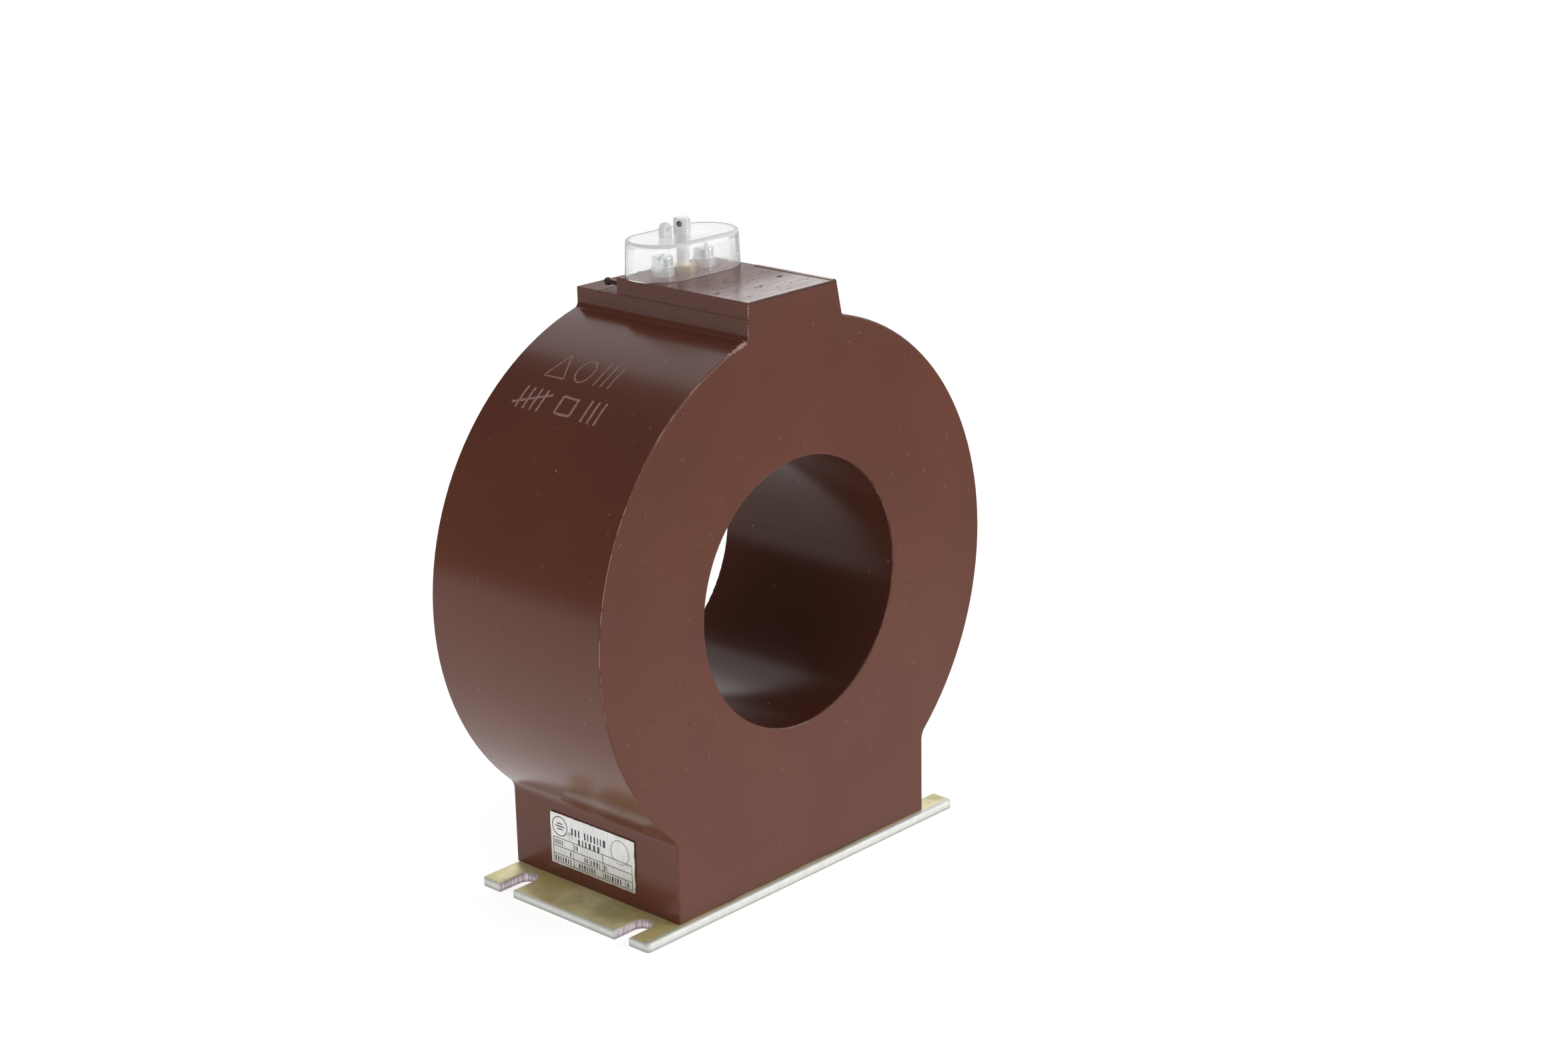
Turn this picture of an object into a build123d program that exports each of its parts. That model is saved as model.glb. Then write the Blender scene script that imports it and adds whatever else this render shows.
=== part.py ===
from build123d import *

import math
import os

# Indoor ring-type current transformer: a resin casting holds a wound core, stands on a
# zinc plated base plate and carries its secondary terminals under a clear sealed cover.
# The frame: X along the base plate's length, Y along the axis of the primary window,
# Z up. The origin lies under the base plate, below the middle of the casting.
# All sizes are in millimetres.

# Resin casting
ring_radius = 120.5
ring_wall = 60.5
ring_rise = 7.5
casting_depth = 102.0
pedestal_inset = 40.5
pedestal_fillet = 7.0
rim_round = 0.8

# Terminal block on top of the ring
block_left = 30.0
block_right = 25.0
block_right_draft = 12.0
block_rise = 12.2
block_left_straight = 6.8
block_right_fillet = 1.6
step_height = 7.3
upper_length = 77.0
upper_recess = 0.4
pour_rim_width = 2.4
pour_rim_height = 0.25
ledge_groove_width = 0.5
ledge_groove_offset = 10.4

# Base plate
plate_overhang = 20.0
plate_width = 104.0
plate_thickness = 4.0
plate_corner = 2.0
plate_edge_round = 0.7
plate_offset_x = 2.0
plate_offset_y = 2.0
slot_width = 9.0
slot_inset_x = 12.0
slot_pitch_y = 72.0

# Screws that hold the plate to the casting
plate_screw_inset_x = 20.0
plate_screw_pitch_y = 60.0
plate_screw_diameter = 6.0
plate_screw_head = 11.4
plate_screw_recess = 0.3
plate_screw_reach = 12.0
plate_insert_diameter = 10.0
plate_insert_length = 14.0
insert_groove_width = 3.0
insert_groove_depth = 0.8
socket_across_flats = 4.0
socket_depth = 1.8

# Core and winding inside the casting
bore_wall = 8.0
outer_wall = 12.5
side_wall = 10.0
tape_thickness = 1.5
winding_thickness = 3.5
insulation_thickness = 1.5
winding_corner = 6.0
lead_diameter = 2.4

# Terminals
cover_offset = 2.4
cover_y = 13.0
terminal_pitch = 24.4
bush_diameter = 9.0
bush_depth = 12.0
bush_collar_diameter = 10.0
bush_collar_height = 3.2
bush_floor = 2.0
terminal_thread = 5.0
terminal_thread_reach = 8.0
washer_diameter = 10.0
washer_thickness = 1.0
washer_clearance = 0.15
spring_washer_diameter = 8.9
spring_washer_thickness = 1.2
spring_washer_gap = 1.0
spring_washer_slant = 25.0
terminal_head_diameter = 8.8
terminal_head_height = 3.3
terminal_head_round = 1.0
driver_slot_width = 1.2
driver_slot_depth = 1.5
driver_slot_turn_left = 25.0
driver_slot_turn_right = 70.0

# Clear cover and its sealing screw
cover_radius = 15.9
cover_straight = 26.0
cover_height = 16.1
cover_wall = 1.6
cover_draft = 2.0
cover_edge_round = 0.7
cover_hole_clearance = 0.25
rib_width = 1.4
rib_depth = 0.7
rib_length = 7.5
lug_offset = 10.0
lug_width = 5.2
lug_height = 6.4
lug_thickness = 2.2
lug_hole_diameter = 1.8
seal_head_diameter = 7.4
seal_head_height = 7.2
seal_head_chamfer = 0.5
seal_hole_diameter = 2.4
seal_hole_drop = 2.4
seal_hole_turn = 27.0
seal_thread = 5.0
seal_thread_reach = 8.0
cover_insert_diameter = 8.0
cover_insert_depth = 14.0
cover_insert_flange = 11.0
cover_insert_rise = 2.6

# Small screw in the step wall, above the ledge
side_screw_offset = 25.0
side_screw_rise = 3.3
side_screw_shank = 2.0
side_screw_head = 3.5
side_screw_collar = 4.4
side_screw_collar_length = 1.6
side_screw_stand = 10.2
side_screw_reach = 8.0

# Rating plate on the pedestal
rating_length = 52.2
rating_thickness = 0.6
rating_corner = 0.5
rating_y = 0.9
rating_margin_below = 6.85
rating_margin_above = 3.65
rivet_shank = 1.9
rivet_reach = 6.0
rivet_head_diameter = 3.9
rivet_head_height = 1.2
rivet_near_reach = 22.4
rivet_near_drop = 1.4
rivet_far_reach = 14.1
rivet_far_rise = 3.0

# Places that follow from the sizes above
axis_height = plate_thickness + ring_rise + ring_radius
bore_radius = ring_radius - ring_wall
pedestal_width = 2 * (ring_radius - pedestal_inset)
plate_length = pedestal_width + 2 * plate_overhang
slot_pitch_x = plate_length - 2 * slot_inset_x
plate_screw_pitch_x = pedestal_width - 2 * plate_screw_inset_x
block_height = axis_height + ring_radius + block_rise
cover_x = -cover_offset
half_depth = casting_depth / 2
step_y = upper_length - half_depth
ledge_height = block_height - step_height

# The hollow between ring and block touches both and ends a straight height below the ledge
hollow_rise = ledge_height - block_left_straight - axis_height
hollow_reach = 2 * (ring_radius - block_left)
block_left_fillet = (block_left**2 + hollow_rise**2 - ring_radius**2) / hollow_reach

# The rating plate lies on the pedestal's flat wall, which ends where its upper fillet starts
fillet_out = pedestal_width / 2 + pedestal_fillet
wall_top = axis_height - math.sqrt((ring_radius + pedestal_fillet) ** 2 - fillet_out**2)
rating_bottom = plate_thickness + rating_margin_below
rating_height = wall_top - rating_margin_above - rating_bottom
rating_z = rating_bottom + rating_height / 2

# The terminals, the cover and what is cast in
cover_top = block_height + cover_height
cover_ceiling = cover_top - cover_wall
terminal_xs = [cover_x - terminal_pitch / 2, cover_x + terminal_pitch / 2]
washer_seat = block_height + bush_collar_height
spring_seat = washer_seat + washer_thickness
head_seat = spring_seat + spring_washer_thickness
bush_bottom = block_height - bush_depth
coil_inner = bore_radius + bore_wall
coil_outer = ring_radius - outer_wall
coil_half = half_depth - side_wall
casting_foot = plate_thickness
plate_screw_top = plate_thickness + plate_screw_reach
plate_screw_places = [
    (x * plate_screw_pitch_x / 2, y * plate_screw_pitch_y / 2) for x in (-1, 1) for y in (-1, 1)
]
seal_thread_end = block_height + cover_insert_rise - seal_thread_reach


def upright(radius, bottom, top, x=0.0, y=0.0):
    """A cylinder that stands along Z from bottom to top."""
    return Pos(x, y, (bottom + top) / 2) * Cylinder(radius, top - bottom)


def along_y(radius, near, far, x=0.0, z=0.0):
    """A cylinder that lies along Y from near to far."""
    return Pos(x, (near + far) / 2, z) * Rot(90, 0, 0) * Cylinder(radius, far - near)


def block_right_at(height):
    """How far the terminal block reaches in +X at a height: its right wall leans out."""
    return block_right + (block_height - height) * math.tan(math.radians(block_right_draft))


def slab(x_low, x_high, y_low, y_high, z_low, z_high):
    """A box between two corners."""
    middle = Pos((x_low + x_high) / 2, (y_low + y_high) / 2, (z_low + z_high) / 2)
    return middle * Box(x_high - x_low, y_high - y_low, z_high - z_low)


def round_corner(outline, x, z, radius):
    """Rounds the corner of an outline that lies nearest to a point."""
    corner = outline.vertices().sort_by_distance((x, z, 0))[0]
    return fillet(corner, radius)


def casting_outline():
    """The casting seen along Y: ring, pedestal and the lower part of the terminal block."""
    hidden = axis_height + ring_radius / 2
    ring = Pos(0, axis_height) * Circle(ring_radius)
    foot_height = axis_height - casting_foot
    pedestal = Pos(0, casting_foot + foot_height / 2) * Rectangle(pedestal_width, foot_height)
    corners = [
        (-block_left, hidden),
        (block_right_at(hidden), hidden),
        (block_right_at(ledge_height), ledge_height),
        (-block_left, ledge_height),
    ]
    block = make_face(Polyline(*corners, close=True))
    outline = ring + pedestal + block
    pedestal_meets = axis_height - math.sqrt(ring_radius**2 - pedestal_width**2 / 4)
    outline = round_corner(outline, -pedestal_width / 2, pedestal_meets, pedestal_fillet)
    outline = round_corner(outline, pedestal_width / 2, pedestal_meets, pedestal_fillet)
    left_meets = axis_height + math.sqrt(ring_radius**2 - block_left**2)
    outline = round_corner(outline, -block_left, left_meets, block_left_fillet)
    right_meets = axis_height + math.sqrt(ring_radius**2 - block_right_at(left_meets) ** 2)
    foot_x = block_right_at(right_meets)
    return round_corner(outline, foot_x, right_meets, block_right_fillet)


def casting_shape():
    """The outside of the resin casting, before anything is set into it."""
    body = extrude(Plane.XZ * casting_outline(), casting_depth / 2, both=True)
    left = -block_left + upper_recess
    corners = [
        (left, ledge_height - step_height),
        (block_right_at(ledge_height - step_height), ledge_height - step_height),
        (block_right, block_height),
        (left, block_height),
    ]
    upper_face = Plane.XZ.offset(half_depth) * make_face(Polyline(*corners, close=True))
    body += extrude(upper_face, -upper_length)
    body -= along_y(bore_radius, -casting_depth, casting_depth, z=axis_height)
    rims = body.faces().sort_by(Axis.Y)[0].edges() + body.faces().sort_by(Axis.Y)[-1].edges()
    body = fillet(rims, rim_round)
    pour_left = block_right - pour_rim_width
    pour_right = block_right - pour_rim_height
    pour_end = cover_y - cover_radius - pour_rim_width
    pour_top = block_height + pour_rim_height
    near = rim_round - half_depth
    body += slab(pour_left, pour_right, near, pour_end, ledge_height, pour_top)
    groove_y = step_y + ledge_groove_offset
    groove_end = groove_y + ledge_groove_width
    groove_floor = ledge_height - ledge_groove_width
    groove_reach = block_left + block_right
    return body - slab(
        -groove_reach, groove_reach, groove_y, groove_end, groove_floor, block_height
    )


def coil_ring(inset, corner):
    """A ring of rounded section round the window's axis, inset from the coil's outside."""
    width = coil_outer - coil_inner - 2 * inset
    height = 2 * (coil_half - inset)
    middle = (coil_outer + coil_inner) / 2
    section = Pos(middle, 0) * RectangleRounded(width, height, corner)
    return Pos(0, 0, axis_height) * revolve(section, Axis.Y)


def winding_leads(winding_outside):
    """The two ends of the winding, which rise to the terminal bushes."""
    leads = []
    middle_turn = coil_outer - tape_thickness - winding_thickness / 2
    for x in terminal_xs:
        start = axis_height + math.sqrt(middle_turn**2 - x**2)
        lead = upright(lead_diameter / 2, start, bush_bottom, x, cover_y)
        leads.append(lead - winding_outside)
    return leads


def terminal_bush(x):
    """A plated bush cast into the resin, with a groove that the resin grips."""
    bush = upright(bush_diameter / 2, bush_bottom, block_height, x, cover_y)
    groove_low = bush_bottom + insert_groove_width
    groove = upright(bush_diameter / 2, groove_low, groove_low + insert_groove_width, x, cover_y)
    core = bush_diameter / 2 - insert_groove_depth
    groove -= upright(core, groove_low, groove_low + insert_groove_width, x, cover_y)
    bush -= groove
    bush += upright(bush_collar_diameter / 2, block_height, washer_seat, x, cover_y)
    return bush - upright(terminal_thread / 2, bush_bottom + bush_floor, washer_seat, x, cover_y)


def ring_washer(diameter, thickness, seat, x):
    """A flat ring round a terminal screw."""
    hole = terminal_thread / 2 + washer_clearance
    ring = upright(diameter / 2, seat, seat + thickness, x, cover_y)
    return ring - upright(hole, seat, seat + thickness, x, cover_y)


def spring_washer(x):
    """A ring washer with one slanted cut through it."""
    ring = ring_washer(spring_washer_diameter, spring_washer_thickness, spring_seat, x)
    reach = spring_washer_diameter
    middle = spring_seat + spring_washer_thickness / 2
    cut = Rot(spring_washer_slant, 0, 0) * Box(reach, spring_washer_gap, reach)
    return ring - Pos(x + reach / 2, cover_y, middle) * cut


def terminal_screw(x, turn):
    """A slotted screw with a rounded head, which clamps a wire under its washers."""
    head_top = head_seat + terminal_head_height
    head = upright(terminal_head_diameter / 2, head_seat, head_top, x, cover_y)
    head = fillet(head.edges().sort_by(Axis.Z)[-1], terminal_head_round)
    thread_end = washer_seat - terminal_thread_reach
    screw = head + upright(terminal_thread / 2, thread_end, head_seat, x, cover_y)
    slot = Rot(0, 0, turn) * Box(2 * terminal_head_diameter, driver_slot_width, 2 * driver_slot_depth)
    return screw - Pos(x, cover_y, head_top) * slot


def cover_insert():
    """A flanged brass insert that takes the sealing screw."""
    bottom = block_height - cover_insert_depth
    top = block_height + cover_insert_rise
    insert = upright(cover_insert_diameter / 2, bottom, block_height, cover_x, cover_y)
    insert += upright(cover_insert_flange / 2, block_height, top, cover_x, cover_y)
    return insert - upright(seal_thread / 2, seal_thread_end, top, cover_x, cover_y)


def sealing_screw():
    """A cylinder head with a cross hole for the seal wire, on a threaded shank."""
    head_top = cover_top + seal_head_height
    head = upright(seal_head_diameter / 2, cover_top, head_top, cover_x, cover_y)
    head = chamfer(head.edges().sort_by(Axis.Z)[-1], seal_head_chamfer)
    hole_place = Pos(cover_x, cover_y, head_top - seal_hole_drop) * Rot(0, 0, seal_hole_turn)
    hole = Rot(0, 90, 0) * Cylinder(seal_hole_diameter / 2, 2 * seal_head_diameter)
    shank = upright(seal_thread / 2, seal_thread_end, cover_top, cover_x, cover_y)
    return head + shank - hole_place * hole


def terminal_cover():
    """A clear drafted cap of long round plan, with a lug for the seal wire on its top."""
    plan = SlotOverall(cover_straight + 2 * cover_radius, 2 * cover_radius)
    seat = Pos(cover_x, cover_y, block_height)
    shell = seat * extrude(plan, cover_height, taper=cover_draft)
    shell = fillet(shell.faces().sort_by(Axis.Z)[-1].edges(), cover_edge_round)
    inner_radius = cover_radius - cover_wall
    inner_plan = SlotOverall(cover_straight + 2 * inner_radius, 2 * inner_radius)
    room = seat * extrude(inner_plan, cover_height - cover_wall, taper=cover_draft)
    rib_y = cover_y - inner_radius + rib_depth
    rib = slab(
        cover_x - rib_width / 2,
        cover_x + rib_width / 2,
        rib_y - cover_wall,
        rib_y,
        cover_ceiling - rib_length,
        cover_ceiling,
    )
    rib_lean = cover_height * math.tan(math.radians(cover_draft))
    shell -= room - Pos(0, rib_lean, 0) * rib
    lug_x = cover_x - lug_offset
    lug_eye = lug_height - lug_width / 2
    lug_plan = Rectangle(lug_width, lug_eye, align=(Align.CENTER, Align.MIN))
    lug_plan += Pos(0, lug_eye) * Circle(lug_width / 2)
    lug_plan -= Pos(0, lug_eye) * Circle(lug_hole_diameter / 2)
    lug = extrude(Plane.XZ * lug_plan, lug_thickness / 2, both=True)
    shell += Pos(lug_x, cover_y, cover_top) * lug
    hole = seal_thread / 2 + cover_hole_clearance
    return shell - upright(hole, cover_ceiling, cover_top, cover_x, cover_y)


def side_screw():
    """A small round-headed screw in the step wall, with a collar against the wall."""
    z = ledge_height + side_screw_rise
    centre = step_y + side_screw_stand
    x = -side_screw_offset
    screw = along_y(side_screw_shank / 2, step_y - side_screw_reach, centre, x, z)
    collar_end = step_y + side_screw_collar_length
    screw += along_y(side_screw_collar / 2, step_y, collar_end, x, z)
    return screw + Pos(x, centre, z) * Sphere(side_screw_head / 2)


def plate_screw(x, y):
    """A countersunk screw with a hexagon socket, set from under the base plate."""
    radius = plate_screw_diameter / 2
    head_radius = plate_screw_head / 2
    cone = head_radius - radius
    neck = plate_screw_recess + cone
    head = Pos(x, y, plate_screw_recess + cone / 2) * Cone(head_radius, radius, cone)
    screw = head + upright(radius, neck, plate_screw_top, x, y)
    key = RegularPolygon(socket_across_flats / 2, 6, major_radius=False)
    return screw - Pos(x, y, plate_screw_recess) * extrude(key, socket_depth)


def plate_insert(x, y):
    """A brass insert in the foot of the casting, with a groove that the resin grips."""
    top = casting_foot + plate_insert_length
    radius = plate_insert_diameter / 2
    insert = upright(radius, casting_foot, top, x, y)
    groove_low = (casting_foot + top - insert_groove_width) / 2
    groove = upright(radius, groove_low, groove_low + insert_groove_width, x, y)
    groove -= upright(radius - insert_groove_depth, groove_low, groove_low + insert_groove_width, x, y)
    insert -= groove
    return insert - upright(plate_screw_diameter / 2, casting_foot, plate_screw_top, x, y)


def base_plate():
    """A punched plate with four open slots, drilled from below for the casting's screws."""
    plan = RectangleRounded(plate_length, plate_width, plate_corner)
    mouth = (plate_length - slot_pitch_x) / 2
    for side in (-1, 1):
        for row in (-1, 1):
            place = Pos(side * slot_pitch_x / 2, row * slot_pitch_y / 2)
            plan -= place * Circle(slot_width / 2)
            plan -= place * Pos(side * mouth, 0) * Rectangle(2 * mouth, slot_width)
    plate = Pos(-plate_offset_x, -plate_offset_y, 0) * extrude(plan, plate_thickness)
    plate = fillet(plate.faces().sort_by(Axis.Z)[-1].edges(), plate_edge_round)
    radius = plate_screw_diameter / 2
    head_radius = plate_screw_head / 2
    cone = head_radius - radius
    for x, y in plate_screw_places:
        plate -= upright(radius, 0, plate_thickness, x, y)
        plate -= upright(head_radius, 0, plate_screw_recess, x, y)
        plate -= Pos(x, y, plate_screw_recess + cone / 2) * Cone(head_radius, radius, cone)
    return plate


def rivet_places():
    """Where the two drive rivets stand on the rating plate."""
    near = (rating_y - rivet_near_reach, rating_z - rivet_near_drop)
    far = (rating_y + rivet_far_reach, rating_z + rivet_far_rise)
    return [near, far]


def along_x(radius, low, high, y, z):
    """A cylinder that lies along X from low to high."""
    return Pos((low + high) / 2, y, z) * Rot(0, 90, 0) * Cylinder(radius, high - low)


def rating_plate():
    """A thin metal plate on the pedestal's left side, with two rivet holes."""
    face_x = -pedestal_width / 2
    plan = RectangleRounded(rating_length, rating_height, rating_corner)
    flat = Plane(origin=(face_x, rating_y, rating_z), x_dir=(0, -1, 0), z_dir=(-1, 0, 0))
    plate = extrude(flat * plan, rating_thickness)
    for y, z in rivet_places():
        plate -= along_x(rivet_shank / 2, face_x - rating_thickness, face_x, y, z)
    return plate


def rating_rivet(y, z):
    """A drive rivet: a plain shank in the resin under a domed head."""
    outside = -pedestal_width / 2 - rating_thickness
    shank_end = -pedestal_width / 2 + rivet_reach
    shank = along_x(rivet_shank / 2, outside, shank_end, y, z)
    half = rivet_head_diameter / 2
    dome_radius = (half**2 + rivet_head_height**2) / (2 * rivet_head_height)
    dome = Pos(outside + dome_radius - rivet_head_height, y, z) * Sphere(dome_radius)
    wide = rivet_head_diameter
    keep = slab(outside - dome_radius, outside, y - wide, y + wide, z - wide, z + wide)
    return shank + (dome & keep)


def resin_casting(set_in):
    """The casting with room for all that is cast or screwed into it."""
    resin = casting_shape()
    for piece in set_in:
        resin -= piece
    for x, y in plate_screw_places:
        resin -= upright(plate_screw_diameter / 2, casting_foot, plate_screw_top, x, y)
    for x in terminal_xs:
        resin -= upright(terminal_thread / 2, bush_bottom + bush_floor, block_height, x, cover_y)
    return resin - upright(seal_thread / 2, seal_thread_end, block_height, cover_x, cover_y)


def build_parts():
    """Every piece of the transformer, by name."""
    tape_corner = winding_corner + tape_thickness
    core_inset = tape_thickness + winding_thickness + insulation_thickness
    coil = coil_ring(0, tape_corner)
    winding_outside = coil_ring(tape_thickness, winding_corner)
    winding_inside = coil_ring(tape_thickness + winding_thickness, winding_corner - winding_thickness)
    core_corner = winding_corner - winding_thickness - insulation_thickness
    core = coil_ring(core_inset, core_corner)
    leads = winding_leads(winding_outside)
    bushes = [terminal_bush(x) for x in terminal_xs]
    inserts = [plate_insert(x, y) for x, y in plate_screw_places]
    rivets = [rating_rivet(y, z) for y, z in rivet_places()]
    screws = [plate_screw(x, y) for x, y in plate_screw_places]
    turns = [driver_slot_turn_left, driver_slot_turn_right]
    tape = coil - winding_outside
    for lead in leads:
        tape -= lead
    set_in = [coil] + leads + bushes + inserts + rivets + [cover_insert(), side_screw()]
    return {
        "resin_casting": resin_casting(set_in),
        "toroidal_core": core,
        "core_insulation": winding_inside - core,
        "secondary_winding": winding_outside - winding_inside,
        "winding_tape": tape,
        "winding_lead_left": leads[0],
        "winding_lead_right": leads[1],
        "terminal_bush_left": bushes[0],
        "terminal_bush_right": bushes[1],
        "terminal_flat_washers": [
            ring_washer(washer_diameter, washer_thickness, washer_seat, x) for x in terminal_xs
        ],
        "terminal_spring_washers": [spring_washer(x) for x in terminal_xs],
        "terminal_screws": [terminal_screw(x, turn) for x, turn in zip(terminal_xs, turns)],
        "cover_insert": cover_insert(),
        "sealing_screw": sealing_screw(),
        "terminal_cover": terminal_cover(),
        "side_screw": side_screw(),
        "base_plate": base_plate(),
        "base_plate_screws": screws,
        "base_plate_inserts": inserts,
        "rating_plate": rating_plate(),
        "rating_plate_rivets": rivets,
    }


def main():
    """Writes one file for each piece or group of like pieces."""
    os.makedirs("parts", exist_ok=True)
    for name, shape in build_parts().items():
        if isinstance(shape, list):
            shape = Compound(children=shape)
        export_step(shape, f"parts/{name}.step")


main()
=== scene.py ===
import math

import bmesh
import bpy
import numpy as np
from bpy.props import FloatProperty, FloatVectorProperty, IntProperty, PointerProperty
from mathutils import Matrix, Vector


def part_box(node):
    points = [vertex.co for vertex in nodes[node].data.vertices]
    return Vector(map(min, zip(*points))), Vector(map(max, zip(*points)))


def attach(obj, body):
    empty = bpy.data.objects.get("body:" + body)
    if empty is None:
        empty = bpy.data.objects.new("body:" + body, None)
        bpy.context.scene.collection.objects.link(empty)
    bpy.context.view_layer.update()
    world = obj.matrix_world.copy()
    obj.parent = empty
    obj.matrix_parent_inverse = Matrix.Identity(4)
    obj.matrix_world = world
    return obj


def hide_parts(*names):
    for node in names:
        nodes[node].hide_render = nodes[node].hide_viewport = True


# An indoor ring-type current transformer: a satin brown resin casting on a zinc plated base
# plate, with its secondary terminals under a clear sealed cover. Units are metres, Z is up,
# Y runs along the axis of the primary window.

bl_info = {
    "name": "Ring Current Transformer",
    "version": (1, 0, 0),
    "blender": (4, 5, 0),
    "location": "3D View > Sidebar > Transformer",
    "description": "Dresses the packed transformer with finishes, fine pieces and a studio",
    "category": "Object",
}

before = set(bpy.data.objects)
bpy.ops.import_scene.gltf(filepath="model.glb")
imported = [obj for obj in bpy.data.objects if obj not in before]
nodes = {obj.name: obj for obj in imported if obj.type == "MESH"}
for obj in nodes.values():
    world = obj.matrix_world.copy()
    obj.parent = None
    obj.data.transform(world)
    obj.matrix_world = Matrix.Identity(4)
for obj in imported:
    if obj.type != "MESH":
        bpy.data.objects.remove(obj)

MM = 0.001

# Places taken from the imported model
FRONT_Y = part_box("resin_casting")[0][1]
LABEL_LOW, LABEL_HIGH = (np.array(corner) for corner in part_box("rating_plate"))
LABEL_SIZE = (LABEL_HIGH - LABEL_LOW)[1:]
COVER_LOW, COVER_HIGH = (np.array(corner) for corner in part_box("terminal_cover"))
COVER_MIDDLE = (COVER_LOW + COVER_HIGH)[:2] / 2
SCREW_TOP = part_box("sealing_screw")[1][2]

# The cover's plan is two half circles joined by straights
COVER_RADIUS = (COVER_HIGH - COVER_LOW)[1] / 2
COVER_STRAIGHT = (COVER_HIGH - COVER_LOW)[0] - 2 * COVER_RADIUS

# The casting's own measures
RING_RADIUS = 120.5 * MM
AXIS_HEIGHT = 132.0 * MM
BORE_RADIUS = 60.0 * MM
BLOCK_TOP = 264.7 * MM
LEDGE_TOP = 257.4 * MM
BLOCK_LEFT = -30.0 * MM
RIM_ROUND = 0.8 * MM

# The base plate's own measures along X, and its rows of slots along Y
PLATE_MIDDLE = -2.0 * MM
PLATE_HALF = 100.0 * MM
SLOT_ROWS = (-38.0 * MM, 34.0 * MM)
SLOT_HALF = 4.5 * MM

# The sealing screw's cross hole, with its turn in degrees
WIRE_HOLE_RADIUS = 1.2 * MM
WIRE_HOLE_DROP = 2.4 * MM
WIRE_HOLE_TURN = 27.0

# Seeds of the random draws
WEAR_SEED = 11
PRINT_SEED = 5
CRUMB_SEED = 23

# The photograph's camera: its angles in degrees, its distance and target, and its lens
CAMERA_AZIMUTH = -47.119
CAMERA_ELEVATION = 17.777
CAMERA_ROLL = -1.063
CAMERA_DISTANCE = 1263.287 * MM
CAMERA_TARGET = np.array([44.483, 0.197, 141.467]) * MM
CAMERA_LENS = 64.239
CAMERA_SENSOR = 36.0

# The studio: each lamp's size, place and target, the floor, and the flag with its turns in degrees
OBJECT_MIDDLE = (0.0, 0.0, 0.14)
LAMPS = {
    "key": (1.2, (1.0, -1.4, 0.5), OBJECT_MIDDLE),
    "back": (1.0, (1.1, 1.02, 0.62), OBJECT_MIDDLE),
    "table": (2.4, (0.0, 0.0, 0.001), (0.0, 0.0, 1.0)),
}
FLOOR_REACH = 8.0
FLOOR_GLOW = 0.66
FLOOR_COLOUR = (0.82, 0.82, 0.82, 1.0)
FLAG_TURNS = (85.0, 215.0)
FLAG_RADIUS = 1.6
FLAG_HEIGHT = 2.3
WHITE = (1.0, 1.0, 1.0, 1.0)


def colour(description, *rgb):
    """A colour property, given as red, green and blue."""
    return FloatVectorProperty(
        name="Colour", description=description, subtype="COLOR", size=3, default=rgb, min=0, max=1
    )


def length(name, description, default):
    """A length property in metres."""
    return FloatProperty(name=name, description=description, default=default, unit="LENGTH")


def portion(name, description, default):
    """A property that goes from 0, none, to 1, full."""
    return FloatProperty(name=name, description=description, default=default, min=0, max=1)


def number(name, description, default):
    """A property that counts something."""
    return IntProperty(name=name, description=description, default=default, min=1)


def power(name, description, default):
    """A lamp's power in watts."""
    return FloatProperty(name=name, description=description, default=default, unit="POWER")


class ResinFinish(bpy.types.PropertyGroup):
    """The cast resin's colours, gloss and wear."""

    body: colour("Brown of the cast resin", 0.146, 0.047, 0.029)
    chipped: colour("Pale pinkish brown where an edge has chipped", 0.46, 0.29, 0.26)
    scratched: colour("Pale brown of a scratch", 0.40, 0.225, 0.20)
    film: colour("Brown of the poured face", 0.160, 0.058, 0.040)
    roughness: portion("Roughness", "How matt the moulded skin is", 0.22)
    gloss: portion("Gloss", "How much clear gloss lies on the moulded skin", 0.86)
    chips: number("Chips", "Small chips along the near edges", 420)
    hairs: number("Hairs", "Fine scratches on the faces", 150)
    pits: number("Pits", "Faint marks on the poured face", 46)


class PlateFinish(bpy.types.PropertyGroup):
    """The base plate's passivated zinc."""

    olive: colour("Yellow olive of the passivated zinc", 0.92, 0.82, 0.36)
    silver: colour("Zinc where the yellow is thin", 1.0, 0.93, 0.54)
    # The edge colour also paints the highlight on the strip in front of the casting
    edge: colour("Bright punched edge", 0.84, 0.85, 0.80)
    slot: colour("Violet tint in the slots", 0.60, 0.52, 0.55)
    rounding: length("Rounding", "How far the worn edges look rounded", 2.6 * MM)


class LabelFinish(bpy.types.PropertyGroup):
    """The rating plate: its metal, its bend and its plain print."""

    metal: colour("Satin aluminium", 0.99, 0.99, 0.98)
    worn: colour("Gold brown where an edge is worn", 0.45, 0.33, 0.20)
    ink: colour("Dark print", 0.035, 0.035, 0.038)
    thickness: length("Thickness", "Thickness of the sheet", 0.6 * MM)
    corner: length("Corner", "Radius of the plate's corners", 0.7 * MM)
    lift: length("Lift", "How far the plate's ends stand off the wall", 0.22 * MM)
    frame_line: length("Frame line", "Width of the print's frame lines", 0.30 * MM)


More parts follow.
